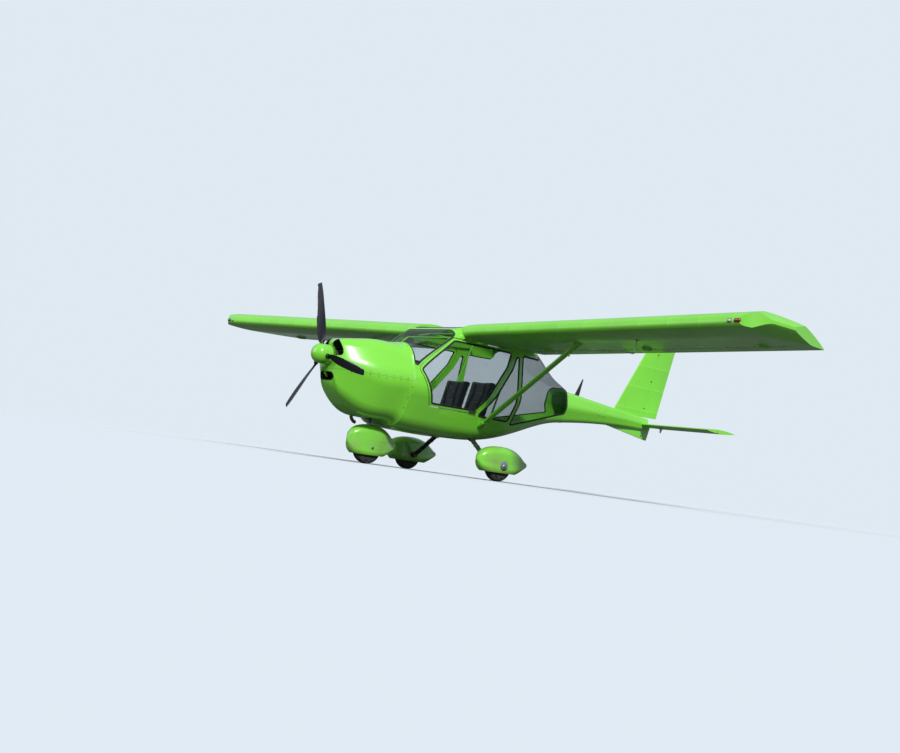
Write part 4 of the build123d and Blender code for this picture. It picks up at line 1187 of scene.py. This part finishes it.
def makeLegTrim():
    along = (legs["foot"] - legs["top"]).normalized()
    hit = touch(["cabin_shell"], legs["foot"], -along)
    boots = Piece("leg_boots", "airframe", "sealRubber", "steel")
    turn = along3(Vector((0, 1, 0)), along.cross(Vector((0, 1, 0))), along)
    place = Matrix.Translation(hit[0] - along * 0.028) @ turn
    boot = legs["boot"]
    boots.both(lambda: plateForm(outlineOf(*boot, boot[1] / 2), legs["bootLong"], 0.006, 3), place)
    collar = [(0.0303, 0.0), (0.036, 0.001), (0.037, 0.006), (0.036, 0.011), (0.0303, 0.012)]
    boots.both(lambda: turnedForm(collar, 32, True), facing((0.7265, -0.880, 0.190), (1, 0, 0)))
    back = Vector((0, legs["back"], 0))
    route = [
        hit[0] - along * 0.02 + back, legs["top"].lerp(legs["foot"], 0.5) + back,
        legs["foot"] - along * 0.05 + back, Vector((0.700, -0.830, 0.205)), Vector((0.742, -0.832, 0.196)),
    ]
    boots.both(lambda: tubeForm(bentPath(route, 0.02), running["pipe"], 8), Matrix.Identity(4), 1)
    for share in legs["clips"]:
        clip = Matrix.Translation(hit[0].lerp(legs["foot"], share)) @ turn @ at(0, 0, -0.006)
        boots.both(lambda: plateForm(outlineOf(*legs["clip"], 0.0142), 0.012, 0.001), clip, 1)
    boots.done()


makeLegTrim()

# Struts: a cuff and two bolts at each end
strutLine = {
    "low": Vector((0.530, -0.900, 0.668)), "topX": 2.020, "topShare": 0.38, "chord": 0.080, "thick": 0.032,
    "cuff": 0.125, "wider": 0.012, "thicker": 0.010, "lowBack": -0.03, "highBack": -0.105,
}


def makeStrutCuffs():
    top = wingPoint(strutLine["topX"], strutLine["topShare"], -0.01)
    along = (top - strutLine["low"]).normalized()
    around = ["cabin_shell", "side_window_port", "door_frame_port"]
    lowHit = touch(around, strutLine["low"].lerp(top, 0.3), -along)
    highHit = touch(["wing_port"], strutLine["low"].lerp(top, 0.8), along)
    cuffs = Piece("strut_cuffs", "airframe", "tube", "steel", slot="frame_paint")
    chordwise = Vector((0, 1, 0))
    across = along.cross(chordwise).normalized()
    chordwise = across.cross(along).normalized()
    turn = along3(chordwise, across, along)
    length = strutLine["cuff"]
    size = (strutLine["chord"] + strutLine["wider"], strutLine["thick"] + strutLine["thicker"])
    ends = ((lowHit, strutLine["lowBack"], (0.42, 0.72)), (highHit, strutLine["highBack"], (0.53, 0.23)))
    for (point, _), back, shares in ends:
        place = Matrix.Translation(point + along * back) @ turn
        cuffs.both(lambda: plateForm(outlineOf(*size, size[1] / 2), length, 0.004, 3), place)
        for share in shares:
            spot = point + along * (back + length * share)
            for direction in (1, -1):
                seat = facing(spot + across * direction * size[1] / 2, across * direction)
                cuffs.both(lambda: boltForm(0.0055, 0.0065, 0.010), seat, 1)
    cuffs.done()


makeStrutCuffs()

# Tail: a trim tab, two horns on the elevator, the eye in the ventral fin
tail = {
    "hingeY": 2.690, "hingeZ": 1.050, "tabX": 0.62, "tabY": 3.010, "tabSize": (0.40, 0.050),
    "hornXs": (0.205, -0.205), "horn": [(-0.022, -0.010), (0.050, -0.012), (0.012, -0.085), (-0.008, -0.085)],
    "eye": (0, 2.520, 0.890),
}


def makeTailTrim():
    for name, above in (("trim_tab_top", 1), ("trim_tab_low", -1)):
        start = (tail["tabX"], tail["tabY"], tail["hingeZ"] + above * 0.3)
        tab = skinPatch(["elevator"], start, (0, 0, -above), (1, 0, 0), tail["tabSize"], 0.006, 0.0012)
        Piece(name, "elevator", "tail", slot="lime_fabric").take(tab).done()
    horns = Piece("elevator_horns", "elevator", "alloy", "steel", slot="frame_paint")
    for x in tail["hornXs"]:
        place = at(x - 0.002, tail["hingeY"] + 0.01, tail["hingeZ"]) @ upright
        horns.take(plateForm(tail["horn"], 0.004, 0.0012), place)
        bolt = facing((x, tail["hingeY"] + 0.012, tail["hingeZ"] - 0.073), (1, 0, 0))
        horns.take(turnedForm([(0, -0.008), (0.005, -0.008), (0.005, 0.008), (0, 0.008)], 6), bolt, 1)
    horns.done()
    eye = Piece("tiedown_eye", "airframe", "steel", slot="frame_paint")
    ring = [(0.0081, -0.014), (0.0125, -0.0135), (0.0125, 0.0135), (0.0081, 0.014)]
    eye.take(turnedForm(ring, 32, True), facing(tail["eye"], (1, 0, 0)))
    eye.done()


makeTailTrim()

# A band over the joint of cabin and boom, with its screws
boomJoint = {"y": 0.850, "axisZ": 1.079, "half": 0.016, "steps": 72, "screws": 22}


def ontoBoom(turn):
    # where the joint is met from outside, at a share of the way round, and the direction outwards there
    out = Vector((math.cos(math.tau * turn), 0, math.sin(math.tau * turn)))
    centre = Vector((0, boomJoint["y"] + 0.004, boomJoint["axisZ"]))
    return *touch(["cabin_shell", "tail_boom"], centre + out, -out), out


def makeBoomBand():
    frames = []
    met = [ontoBoom(index / boomJoint["steps"]) for index in range(boomJoint["steps"])]
    points = [point for point, _, _ in met]
    for (point, _, out), heading in zip(met, headings(points, True)):
        sideways = Vector((0, 1, 0))
        normal = heading.cross(sideways).normalized()
        if normal.dot(out) < 0:
            sideways = -sideways
            normal = -normal
        frames.append(Matrix.Translation(point) @ along3(sideways, normal, heading))
    band = Piece("boom_band", "airframe", "paint", "steel", slot="lime_paint")
    band.take(sweptForm(frames, 12, boomJoint["half"], 0.0022, math.pi / 12, True))
    for index in range(boomJoint["screws"]):
        point, normal, _ = ontoBoom((index + 0.5) / boomJoint["screws"])
        band.take(screwForm(0.005, 0.0016), facing(point + normal * 0.002, normal), 1)
    band.done(50)


makeBoomBand()
print("running gear, struts and tail trimmed")

# Doors: a lever inside and out near the rear lower corner, and a round vent in each pane
doorFit = {
    "handle": (-1.170, 0.776), "lever": (0.010, 0.108, 0.018), "vent": (-1.560, 1.020),
    "ventSize": 0.124, "outside": 1.3, "inside": 0.3,
}


def makeDoorFittings():
    for sideName, side in sides.items():
        door = "door_" + sideName
        frameNode, pane = ["door_frame_" + sideName], ["door_window_" + sideName]
        fittings = Piece("door_handle_" + sideName, door, "black", "steel", slot="control_metal")
        outer = touch(frameNode, (side * doorFit["outside"], *doorFit["handle"]), (-side, 0, 0))
        inner = touch(frameNode, (side * doorFit["inside"], *doorFit["handle"]), (side, 0, 0))
        for (point, _), way in ((outer, side), (inner, -side)):
            boss = [(0, 0.012), (0.011, 0.012), (0.013, 0.010), (0.014, 0.0), (0.014, -0.002), (0, -0.002)]
            fittings.take(turnedForm(boss, 24), facing(point, (way, 0, 0)), 1)
            lever = Matrix.Translation(point + Vector((way * 0.016, 0.040, 0.002)))
            fittings.take(blockForm(doorFit["lever"], 0.004, 3), lever)
        fittings.done()
        vent = Piece("door_vent_" + sideName, door, "sealRubber", "glass", "black", slot="panel_black")
        outside = (side * doorFit["outside"], *doorFit["vent"])
        size = (doorFit["ventSize"], doorFit["ventSize"])
        vent.take(skinPatch(pane, outside, (-side, 0, 0), (0, 1, 0), size, size[0] / 2, 0.0035, 0.80))
        knob = [(0, 0.012), (0.008, 0.012), (0.010, 0.009), (0.006, 0.003), (0.012, 0.001),
                (0.012, -0.001), (0, -0.001)]
        vent.take(turnedForm(knob, 20), facing(*touch(pane, outside, (-side, 0, 0))), 2)
        vent.done()


makeDoorFittings()

# Instrument panel: dials before the port seat, a display and a radio in the middle, engine dials to starboard
dash = {
    "faceY": -1.810, "hoodZ": 1.272, "throttleZ": 1.035,
    # x, z, width and height of the display and the radio
    "units": ((-0.010, 1.190, 0.175, 0.110), (-0.010, 1.100, 0.160, 0.034)),
    "switches": 8, "switchX": -0.315, "switchStep": 0.026, "switchZ": 1.062,
    "breakers": 5, "breakerX": 0.300, "breakerStep": -0.030, "breakerZ": 1.050,
    "throttles": {0.035: 0, -0.020: 4}, "compassY": -1.900,
}
dials = [
    # x, z, radius, angle of the needle in degrees
    (0.285, 1.195, 0.034, 40), (0.205, 1.195, 0.034, 190), (0.125, 1.195, 0.034, 300),
    (0.285, 1.112, 0.034, 130), (0.205, 1.112, 0.034, 95), (0.125, 1.112, 0.034, 250),
    (-0.150, 1.205, 0.026, 210), (-0.215, 1.205, 0.026, 160), (-0.280, 1.205, 0.026, 60),
    (-0.150, 1.140, 0.026, 230), (-0.215, 1.140, 0.026, 110), (-0.280, 1.140, 0.026, 20),
]


def makeDial(piece, x, z, radius, needle):
    place = facing((x, dash["faceY"], z), aft)
    # pairs of a share of the radius and a height
    bezel = [(0.86, 0.0015), (0.86, 0.004), (0.92, 0.006), (1, 0.005), (1.05, 0.002),
             (1.06, -0.001), (0.86, -0.001)]
    face = [(0, 0.0012), (0.87, 0.0012), (0.87, -0.001), (0, -0.001)]
    pivot = [(0, 0.0034), (0.08, 0.0030), (0.09, 0.0012), (0, 0.0012)]

    def sized(profile):
        return [(share * radius, height) for share, height in profile]

    piece.take(turnedForm(sized(bezel), 40, True), place)
    piece.take(turnedForm(sized(face), 40), place, 1)
    for index in (0, 1, 2, 3, 4, 5, 7, 8, 9, 10, 11):
        turn = Matrix.Rotation(math.tau * index / 12, 4, "Z")
        long = 0.16 if index % 3 == 0 else 0.10
        mark = at(0, radius * (0.80 - long / 2), 0.0014)
        piece.take(blockForm((radius * 0.035, radius * long, 0.0006)), place @ turn @ mark, 2, False)
    corners = ((-0.05, -0.14), (0.05, -0.14), (0.015, 0.70), (-0.015, 0.70))
    pointer = [(x * radius, y * radius) for x, y in corners]
    turn = Matrix.Rotation(math.radians(-needle), 4, "Z")
    piece.take(plateForm(pointer, 0.0006), place @ turn @ at(0, 0, 0.002), 2, False)
    piece.take(turnedForm(sized(pivot), 16), place)


# knobs and switches on the panel, as pairs of radius and height
knobs = {
    "set": [(0, 0.014), (0.0065, 0.014), (0.0075, 0.012), (0.0075, 0.0), (0, 0.0)],
    "nut": [(0, 0.004), (0.0055, 0.004), (0.006, 0.003), (0.006, -0.001), (0, -0.001)],
    "lever": [(0, 0.018), (0.0022, 0.017), (0.0018, 0.0), (0, 0.0)],
    "breaker": [(0, 0.010), (0.0060, 0.009), (0.0065, 0.0), (0.0095, 0.0), (0.0095, -0.001), (0, -0.001)],
    "shaft": [(0, 0.060), (0.004, 0.060), (0.004, 0.006), (0.011, 0.006), (0.012, -0.001), (0, -0.001)],
    "throttle": [(0, 0.082), (0.010, 0.081), (0.014, 0.076), (0.014, 0.068), (0.008, 0.060), (0, 0.060)],
}


def makeDash():
    clocks = Piece("panel_dials", "airframe", "black", "panel", "marking", slot="panel_black")
    for row in dials:
        makeDial(clocks, *row)
    clocks.done()
    worn = ("black", "screen", "marking", "steel", "yellowKnob")
    boxes = Piece("panel_instruments", "airframe", *worn, slot="panel_black")
    face = dash["faceY"]

    def fit(name, steps, spot, finish=0, direction=aft):
        boxes.take(turnedForm(knobs[name], steps), facing(spot, direction), finish)

    for x, z, wide, tall in dash["units"]:
        screenSize = (wide * 0.72, 0.002, tall * 0.72)
        boxes.take(blockForm((wide, 0.022, tall), 0.005, 3), at(x, face + 0.009, z))
        boxes.take(blockForm(screenSize, 0.0006), at(x + wide * 0.04, face + 0.0205, z), 1)
        for lift in ((-0.3, 0.0, 0.3) if tall > 0.06 else (0.0,)):
            fit("set", 18, (x - wide * 0.43, face + 0.0195, z + lift * tall))
    for index in range(dash["switches"]):
        spot = (dash["switchX"] + index * dash["switchStep"], face, dash["switchZ"])
        fit("nut", 16, spot, 3)
        fit("lever", 10, spot, 3, (0, 1, 0.5 if index % 3 else -0.5))
    for index in range(dash["breakers"]):
        fit("breaker", 18, (dash["breakerX"] + index * dash["breakerStep"], face, dash["breakerZ"]))
    for x, finish in dash["throttles"].items():
        fit("shaft", 18, (x, face, dash["throttleZ"]), 3)
        fit("throttle", 24, (x, face, dash["throttleZ"]), finish)
    boxes.done()
    compass = Piece("compass", "airframe", "black", "glass", "marking", slot="panel_black")
    stand = at(0, dash["compassY"], dash["hoodZ"])
    compass.take(blockForm((0.044, 0.044, 0.016), 0.004, 3), stand @ at(0, 0, 0.006))
    compass.take(blockForm((0.060, 0.050, 0.052), 0.012, 4), stand @ at(0, 0, 0.038))
    window = [(0, 0.004), (0.020, 0.002), (0.023, -0.002), (0, -0.002)]
    compass.take(turnedForm(window, 28), stand @ facing((0, 0.025, 0.038), aft), 1)
    compass.done()


makeDash()

# Stick grip, pedal treads, floor mats
controls = {
    "stickY": -1.480, "stickTop": 0.920, "pedalY": -1.918, "pedalXs": (-0.270, -0.120, 0.120, 0.270),
    "matX": 0.21, "matY": -1.640, "matSize": (0.26, 0.40),
}


def makeControls():
    grip = Piece("stick_grip", "airframe", "black", "redLens", "sealRubber", slot="control_metal")
    profile = [(0, 0.012), (0.010, 0.012), (0.017, 0.008), (0.0205, 0.0), (0.0195, -0.018), (0.0175, -0.036),
               (0.0190, -0.054), (0.0175, -0.072), (0.0190, -0.090), (0.0178, -0.108), (0.0220, -0.118),
               (0.0225, -0.124), (0.0145, -0.126)]
    top = at(0, controls["stickY"], controls["stickTop"])
    grip.take(turnedForm(profile, 36), top)
    grip.take(turnedForm([(0, 0.004), (0.0045, 0.003), (0.005, 0.0), (0, 0.0)], 18), top @ at(0, 0, 0.012), 1)
    floor = touch(["cabin_shell"], (0.03, controls["stickY"], 0.62), (0, 0, -1))[0]
    boot = [(0.0145, 0.105), (0.020, 0.100), (0.021, 0.086), (0.030, 0.078), (0.031, 0.064), (0.042, 0.054),
            (0.044, 0.040), (0.058, 0.030), (0.062, 0.012), (0.070, 0.003), (0.070, -0.002)]
    grip.take(turnedForm(boot, 40), at(0, controls["stickY"], floor.z), 2)
    grip.done()
    treads = Piece("pedal_treads", "airframe", "sealRubber", slot="control_metal")
    for x in controls["pedalXs"]:
        treads.take(blockForm((0.084, 0.005, 0.104), 0.002), at(x, controls["pedalY"] + 0.002, 0.695))
        for index in range(6):
            rib = at(x, controls["pedalY"] + 0.006, 0.655 + index * 0.016)
            treads.take(blockForm((0.072, 0.004, 0.007), 0.0014), rib)
    treads.done()
    mats = Piece("floor_mats", "airframe", "carpet", slot="seat_cloth")
    for side in sides.values():
        above = (side * controls["matX"], controls["matY"], 0.60)
        mats.take(skinPatch(["cabin_shell"], above, (0, 0, -1), (1, 0, 0), controls["matSize"], 0.04, 0.006))
    mats.done()


makeControls()
print("cabin fitted")

# Seat pads: the port pair is blown up as cloth, piped, and mirrored for the starboard seat
seatPads = {
    "voxel": 0.006, "pressure": 4.0, "frames": 20, "cap": 0.016, "shrink": 0.94, "piping": 0.0042,
    "parts": {"seat_cushion": 0.55, "seat_back": 0.6},
    # the seams: inner and outer edge, corner, and the sewn channels as shares of the length
    "across": (0.062, 0.413), "corner": 0.05,
    "sewn": (0.30, 0.52, 0.74), "sewnWidth": 0.022, "sewnDepth": 0.006,
}


def swollen(name):
    # the CAD pad, slightly smaller, remeshed and inflated, with no point moved beyond the cap
    source = nodes[name].data.copy()
    middle = sum((v.co for v in source.vertices), Vector()) / len(source.vertices)
    for vert in source.vertices:
        vert.co = middle + (vert.co - middle) * seatPads["shrink"]
    pad = bpy.data.objects.new("pad", source)
    bpy.context.scene.collection.objects.link(pad)
    bpy.context.view_layer.objects.active = pad
    voxels = pad.modifiers.new("voxels", "REMESH")
    voxels.mode = "VOXEL"
    voxels.voxel_size = seatPads["voxel"]
    voxels.use_smooth_shade = True
    started = bpy.data.meshes.new_from_object(pad.evaluated_get(bpy.context.evaluated_depsgraph_get()))
    pad.modifiers.clear()
    pad.data = started
    rest = [v.co.copy() for v in started.vertices]
    cloth = pad.modifiers.new("cloth", "CLOTH")
    cloth.settings.use_pressure = True
    cloth.settings.uniform_pressure_force = seatPads["pressure"]
    cloth.settings.effector_weights.gravity = 0
    cloth.point_cache.frame_start = 1
    cloth.point_cache.frame_end = seatPads["frames"]
    for step in range(1, seatPads["frames"] + 1):
        bpy.context.scene.frame_set(step)
    blown = bpy.data.meshes.new_from_object(pad.evaluated_get(bpy.context.evaluated_depsgraph_get()))
    pad.modifiers.clear()
    for vert, start in zip(blown.vertices, rest):
        moved = vert.co - start
        if moved.length > seatPads["cap"]:
            vert.co = start + moved.normalized() * seatPads["cap"]
    bpy.context.scene.frame_set(1)
    pad.data = blown
    form = bmesh.new()
    form.from_mesh(pad.data)
    bpy.data.objects.remove(pad)
    for _ in range(2):
        bmesh.ops.smooth_vert(
            form, verts=form.verts, factor=0.5, use_axis_x=True, use_axis_y=True, use_axis_z=True
        )
    return form


def loopOn(tree, points):
    # points pushed onto a surface, as a closed path of frames for a round piping
    found = [tree.find_nearest(point)[0] for point in points]
    return [facing(point, heading) for point, heading in zip(found, headings(found, True))]


padSeams = {
    # the ends in Y and Z of the outline drawn round each pad's front face, and how far off the face it starts
    "seat_cushion": {"from": (-1.345, 0.752), "to": (-0.925, 0.690), "lift": (0, 0.03)},
    "seat_back": {"from": (-0.880, 0.665), "to": (-0.752, 1.170), "lift": (-0.03, 0)},
}
padForms = {}


def makePad(kind):
    form = swollen(kind + "_port")
    seams = padSeams[kind]
    (y0, z0), (y1, z1) = seams["from"], seams["to"]
    lift = Vector((0, *seams["lift"]))
    inner, outer = seatPads["across"]
    length = math.hypot(y1 - y0, z1 - z0)

    def over(x, share):
        return Vector((x, y0 + (y1 - y0) * share, z0 + (z1 - z0) * share)) + lift

    corners = outlineOf(outer - inner, length, seatPads["corner"], 5)
    outline = [over((inner + outer) / 2 + x, along / length + 0.5) for x, along in corners]
    channels = [
        [over(inner + 0.012 + (outer - inner - 0.024) * step / 16, share) for step in range(17)]
        for share in seatPads["sewn"]
    ]
    for vert in form.verts:
        # each sewn channel pulls the cover in
        share = ((vert.co.y - y0) * (y1 - y0) + (vert.co.z - z0) * (z1 - z0)) / length ** 2
        for sewn in seatPads["sewn"]:
            away = abs(share - sewn) * length / seatPads["sewnWidth"]
            if away < 1:
                vert.co -= lift.normalized() * (seatPads["sewnDepth"] * (1 - away) ** 2)
    bmesh.ops.subdivide_edges(form, edges=form.edges[:], cuts=1, use_grid_fill=True, smooth=0.0)
    bmesh.ops.recalc_face_normals(form, faces=form.faces)
    kept = bpy.data.meshes.new(kind + "Kept")
    form.to_mesh(kept)
    tree = BVHTree.FromBMesh(form)
    padForms[kind] = tree
    form.free()
    for sideName, side in sides.items():
        piece = Piece("padded_" + kind + "_" + sideName, "airframe", "cloth", "piping", slot="seat_cloth")
        turn = Matrix.Diagonal((side, 1, 1, 1))
        copied = bmesh.new()
        copied.from_mesh(kept)
        piece.take(copied, turn)
        cord = seatPads["piping"]
        piece.take(sweptForm(loopOn(tree, outline), 8, cord, cord, 0.0, True), turn, 1)
        for line in channels:
            found = [tree.find_nearest(point)[0] for point in line]
            piece.take(tubeForm(found, 0.0016, 6), turn, 1)
        made = piece.done(60)
        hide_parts(kind + "_" + sideName)
    bpy.data.meshes.remove(kept)


for kind in seatPads["parts"]:
    makePad(kind)
print("seats padded")

# Harness: flat webbing laid over the pads, with a buckle on each lap belt
webbing = {"width": 0.046, "thick": 0.0022, "lift": 0.0035, "shoulders": (0.150, 0.325)}


def strapForm(points, flats):
    # a flat strap through points, its flat side facing the way each flat gives
    frames = []
    for point, flat, heading in zip(points, flats, headings(points)):
        sideways = flat.cross(heading).normalized()
        normal = heading.cross(sideways).normalized()
        frames.append(Matrix.Translation(point) @ along3(sideways, normal, heading))
    return sweptForm(frames, 12, webbing["width"] / 2, webbing["thick"], math.pi / 12)


def laidOn(kind, starts, direction):
    # where lines from the starts meet a pad: points just above it, and the way it faces
    points, flats = [], []
    for start in starts:
        hit = padForms[kind].ray_cast(Vector(start), Vector(direction))
        if hit[0] is None:
            continue
        normal = hit[1] if hit[1].dot(Vector(direction)) < 0 else -hit[1]
        points.append(hit[0] + normal * webbing["lift"])
        flats.append(normal)
    return points, flats


def makeHarness():
    for sideName, side in sides.items():
        belts = Piece("harness_" + sideName, "airframe", "webbing", "steel", "redLens", slot="seat_cloth")
        turn = Matrix.Diagonal((side, 1, 1, 1))
        steps = [step / 14 for step in range(15)]
        lap = [(0.075 + 0.325 * share, -0.985 - 0.10 * math.sin(math.pi * share), 1.1) for share in steps]
        points, flats = laidOn("seat_cushion", lap, (0, 0, -1))
        belts.take(strapForm(points, flats), turn)
        buckle = turn @ Matrix.Translation(points[len(points) // 2])
        belts.take(blockForm((0.075, 0.052, 0.014), 0.005, 3), buckle @ at(0, 0, 0.006), 1)
        belts.take(blockForm((0.028, 0.030, 0.005), 0.0015), buckle @ at(0.008, 0, 0.0145), 2)
        for x in webbing["shoulders"]:
            down = [(x + 0.02 * math.sin(step * 0.4), -1.30, 1.155 - 0.030 * step) for step in range(15)]
            points, flats = laidOn("seat_back", down, (0, 1, 0))
            belts.take(strapForm(points, flats), turn)
            slide = turn @ facing(points[-3], flats[-3]) @ Matrix.Rotation(math.pi / 2, 4, "X")
            belts.take(blockForm((0.056, 0.006, 0.032), 0.002), slide, 1)
        belts.done(50)


makeHarness()
print("harness laid")

# Studio: a pale floor that fades into the backdrop, a key light and soft light all round
studio = {
    "floorRadius": 60.0, "floorSeen": (0.61, 0.645, 0.68, 1), "bounce": (0.10, 0.105, 0.10, 1),
    "backdrop": (0.745, 0.82, 0.895, 1), "sky": (0.80, 0.90, 1.0, 1), "skyStrength": 0.55,
    "keyStrength": 3.6, "keyAngle": 5.0, "keyFrom": (0.72, -0.34, 0.62), "fillStrength": 0.8,
    "fillFrom": (-0.5, -0.8, 0.35),
}


def makeFloor():
    mesh = bmesh.new()
    bmesh.ops.create_circle(mesh, cap_ends=True, segments=96, radius=studio["floorRadius"])
    data = bpy.data.meshes.new("studioFloor")
    mesh.to_mesh(data)
    mesh.free()
    floor = bpy.data.objects.new("studioFloor", data)
    bpy.context.scene.collection.objects.link(floor)
    finish = Finish("floorFinish")
    seen = finish.node("ShaderNodeLightPath", output="Is Camera Ray")
    colour = finish.blend(seen, studio["bounce"], studio["floorSeen"])
    matt = finish.node("ShaderNodeBsdfDiffuse", {}, {"Color": colour})
    gone = finish.node("ShaderNodeBsdfTransparent")
    x, y, z = finish.axes()
    reach = ((x * x + y * y) ** 0.5) / studio["floorRadius"]
    fade = finish.ramp(reach, (0.12, 0.0), (0.85, 1.0))
    data.materials.append(finish.mixed(fade * seen, matt, gone))


def makeWorld():
    world = bpy.data.worlds.new("studioWorld")
    bpy.context.scene.world = world
    world.use_nodes = True
    tree = world.node_tree
    tree.nodes.clear()
    output = tree.nodes.new("ShaderNodeOutputWorld")
    path = tree.nodes.new("ShaderNodeLightPath")
    lit = tree.nodes.new("ShaderNodeBackground")
    lit.inputs["Color"].default_value = studio["sky"]
    lit.inputs["Strength"].default_value = studio["skyStrength"]
    seen = tree.nodes.new("ShaderNodeBackground")
    seen.inputs["Color"].default_value = studio["backdrop"]
    mixed = tree.nodes.new("ShaderNodeMixShader")
    tree.links.new(path.outputs["Is Camera Ray"], mixed.inputs[0])
    tree.links.new(lit.outputs[0], mixed.inputs[1])
    tree.links.new(seen.outputs[0], mixed.inputs[2])
    tree.links.new(mixed.outputs[0], output.inputs["Surface"])


def makeSun(name, source, strength, angle):
    light = bpy.data.lights.new(name, "SUN")
    light.energy = strength
    light.angle = math.radians(angle)
    lamp = bpy.data.objects.new(name, light)
    lamp.rotation_mode = "QUATERNION"
    lamp.rotation_quaternion = Vector(source).to_track_quat("Z", "Y")
    bpy.context.scene.collection.objects.link(lamp)


# The camera stands at floor level off the port bow and looks up, rolled as the photograph is
cameraPlace = {
    "location": (12.0, -11.25, 0.06), "yaw": 49.7, "pitch": 4.1, "roll": 7.8, "lens": 51.7, "sensor": 36.0,
}


def makeCamera():
    yaw, pitch, roll = (math.radians(cameraPlace[key]) for key in ("yaw", "pitch", "roll"))
    forward = Vector((-math.sin(yaw) * math.cos(pitch), math.cos(yaw) * math.cos(pitch), math.sin(pitch)))
    right = Vector((math.cos(yaw), math.sin(yaw), 0))
    up = right.cross(forward)
    rolledRight = right * math.cos(roll) + up * math.sin(roll)
    rolledUp = up * math.cos(roll) - right * math.sin(roll)
    data = bpy.data.cameras.new("camera")
    data.lens = cameraPlace["lens"]
    data.sensor_width = cameraPlace["sensor"]
    data.clip_end = 300
    camera = bpy.data.objects.new("camera", data)
    turn = along3(rolledRight, rolledUp, -forward)
    camera.matrix_world = Matrix.Translation(cameraPlace["location"]) @ turn
    bpy.context.scene.collection.objects.link(camera)
    bpy.context.scene.camera = camera


makeFloor()
makeWorld()
makeSun("keyLight", studio["keyFrom"], studio["keyStrength"], studio["keyAngle"])
makeSun("fillLight", studio["fillFrom"], studio["fillStrength"], 40)
makeCamera()
bpy.context.scene.view_settings.view_transform = "Standard"
print("studio ready")
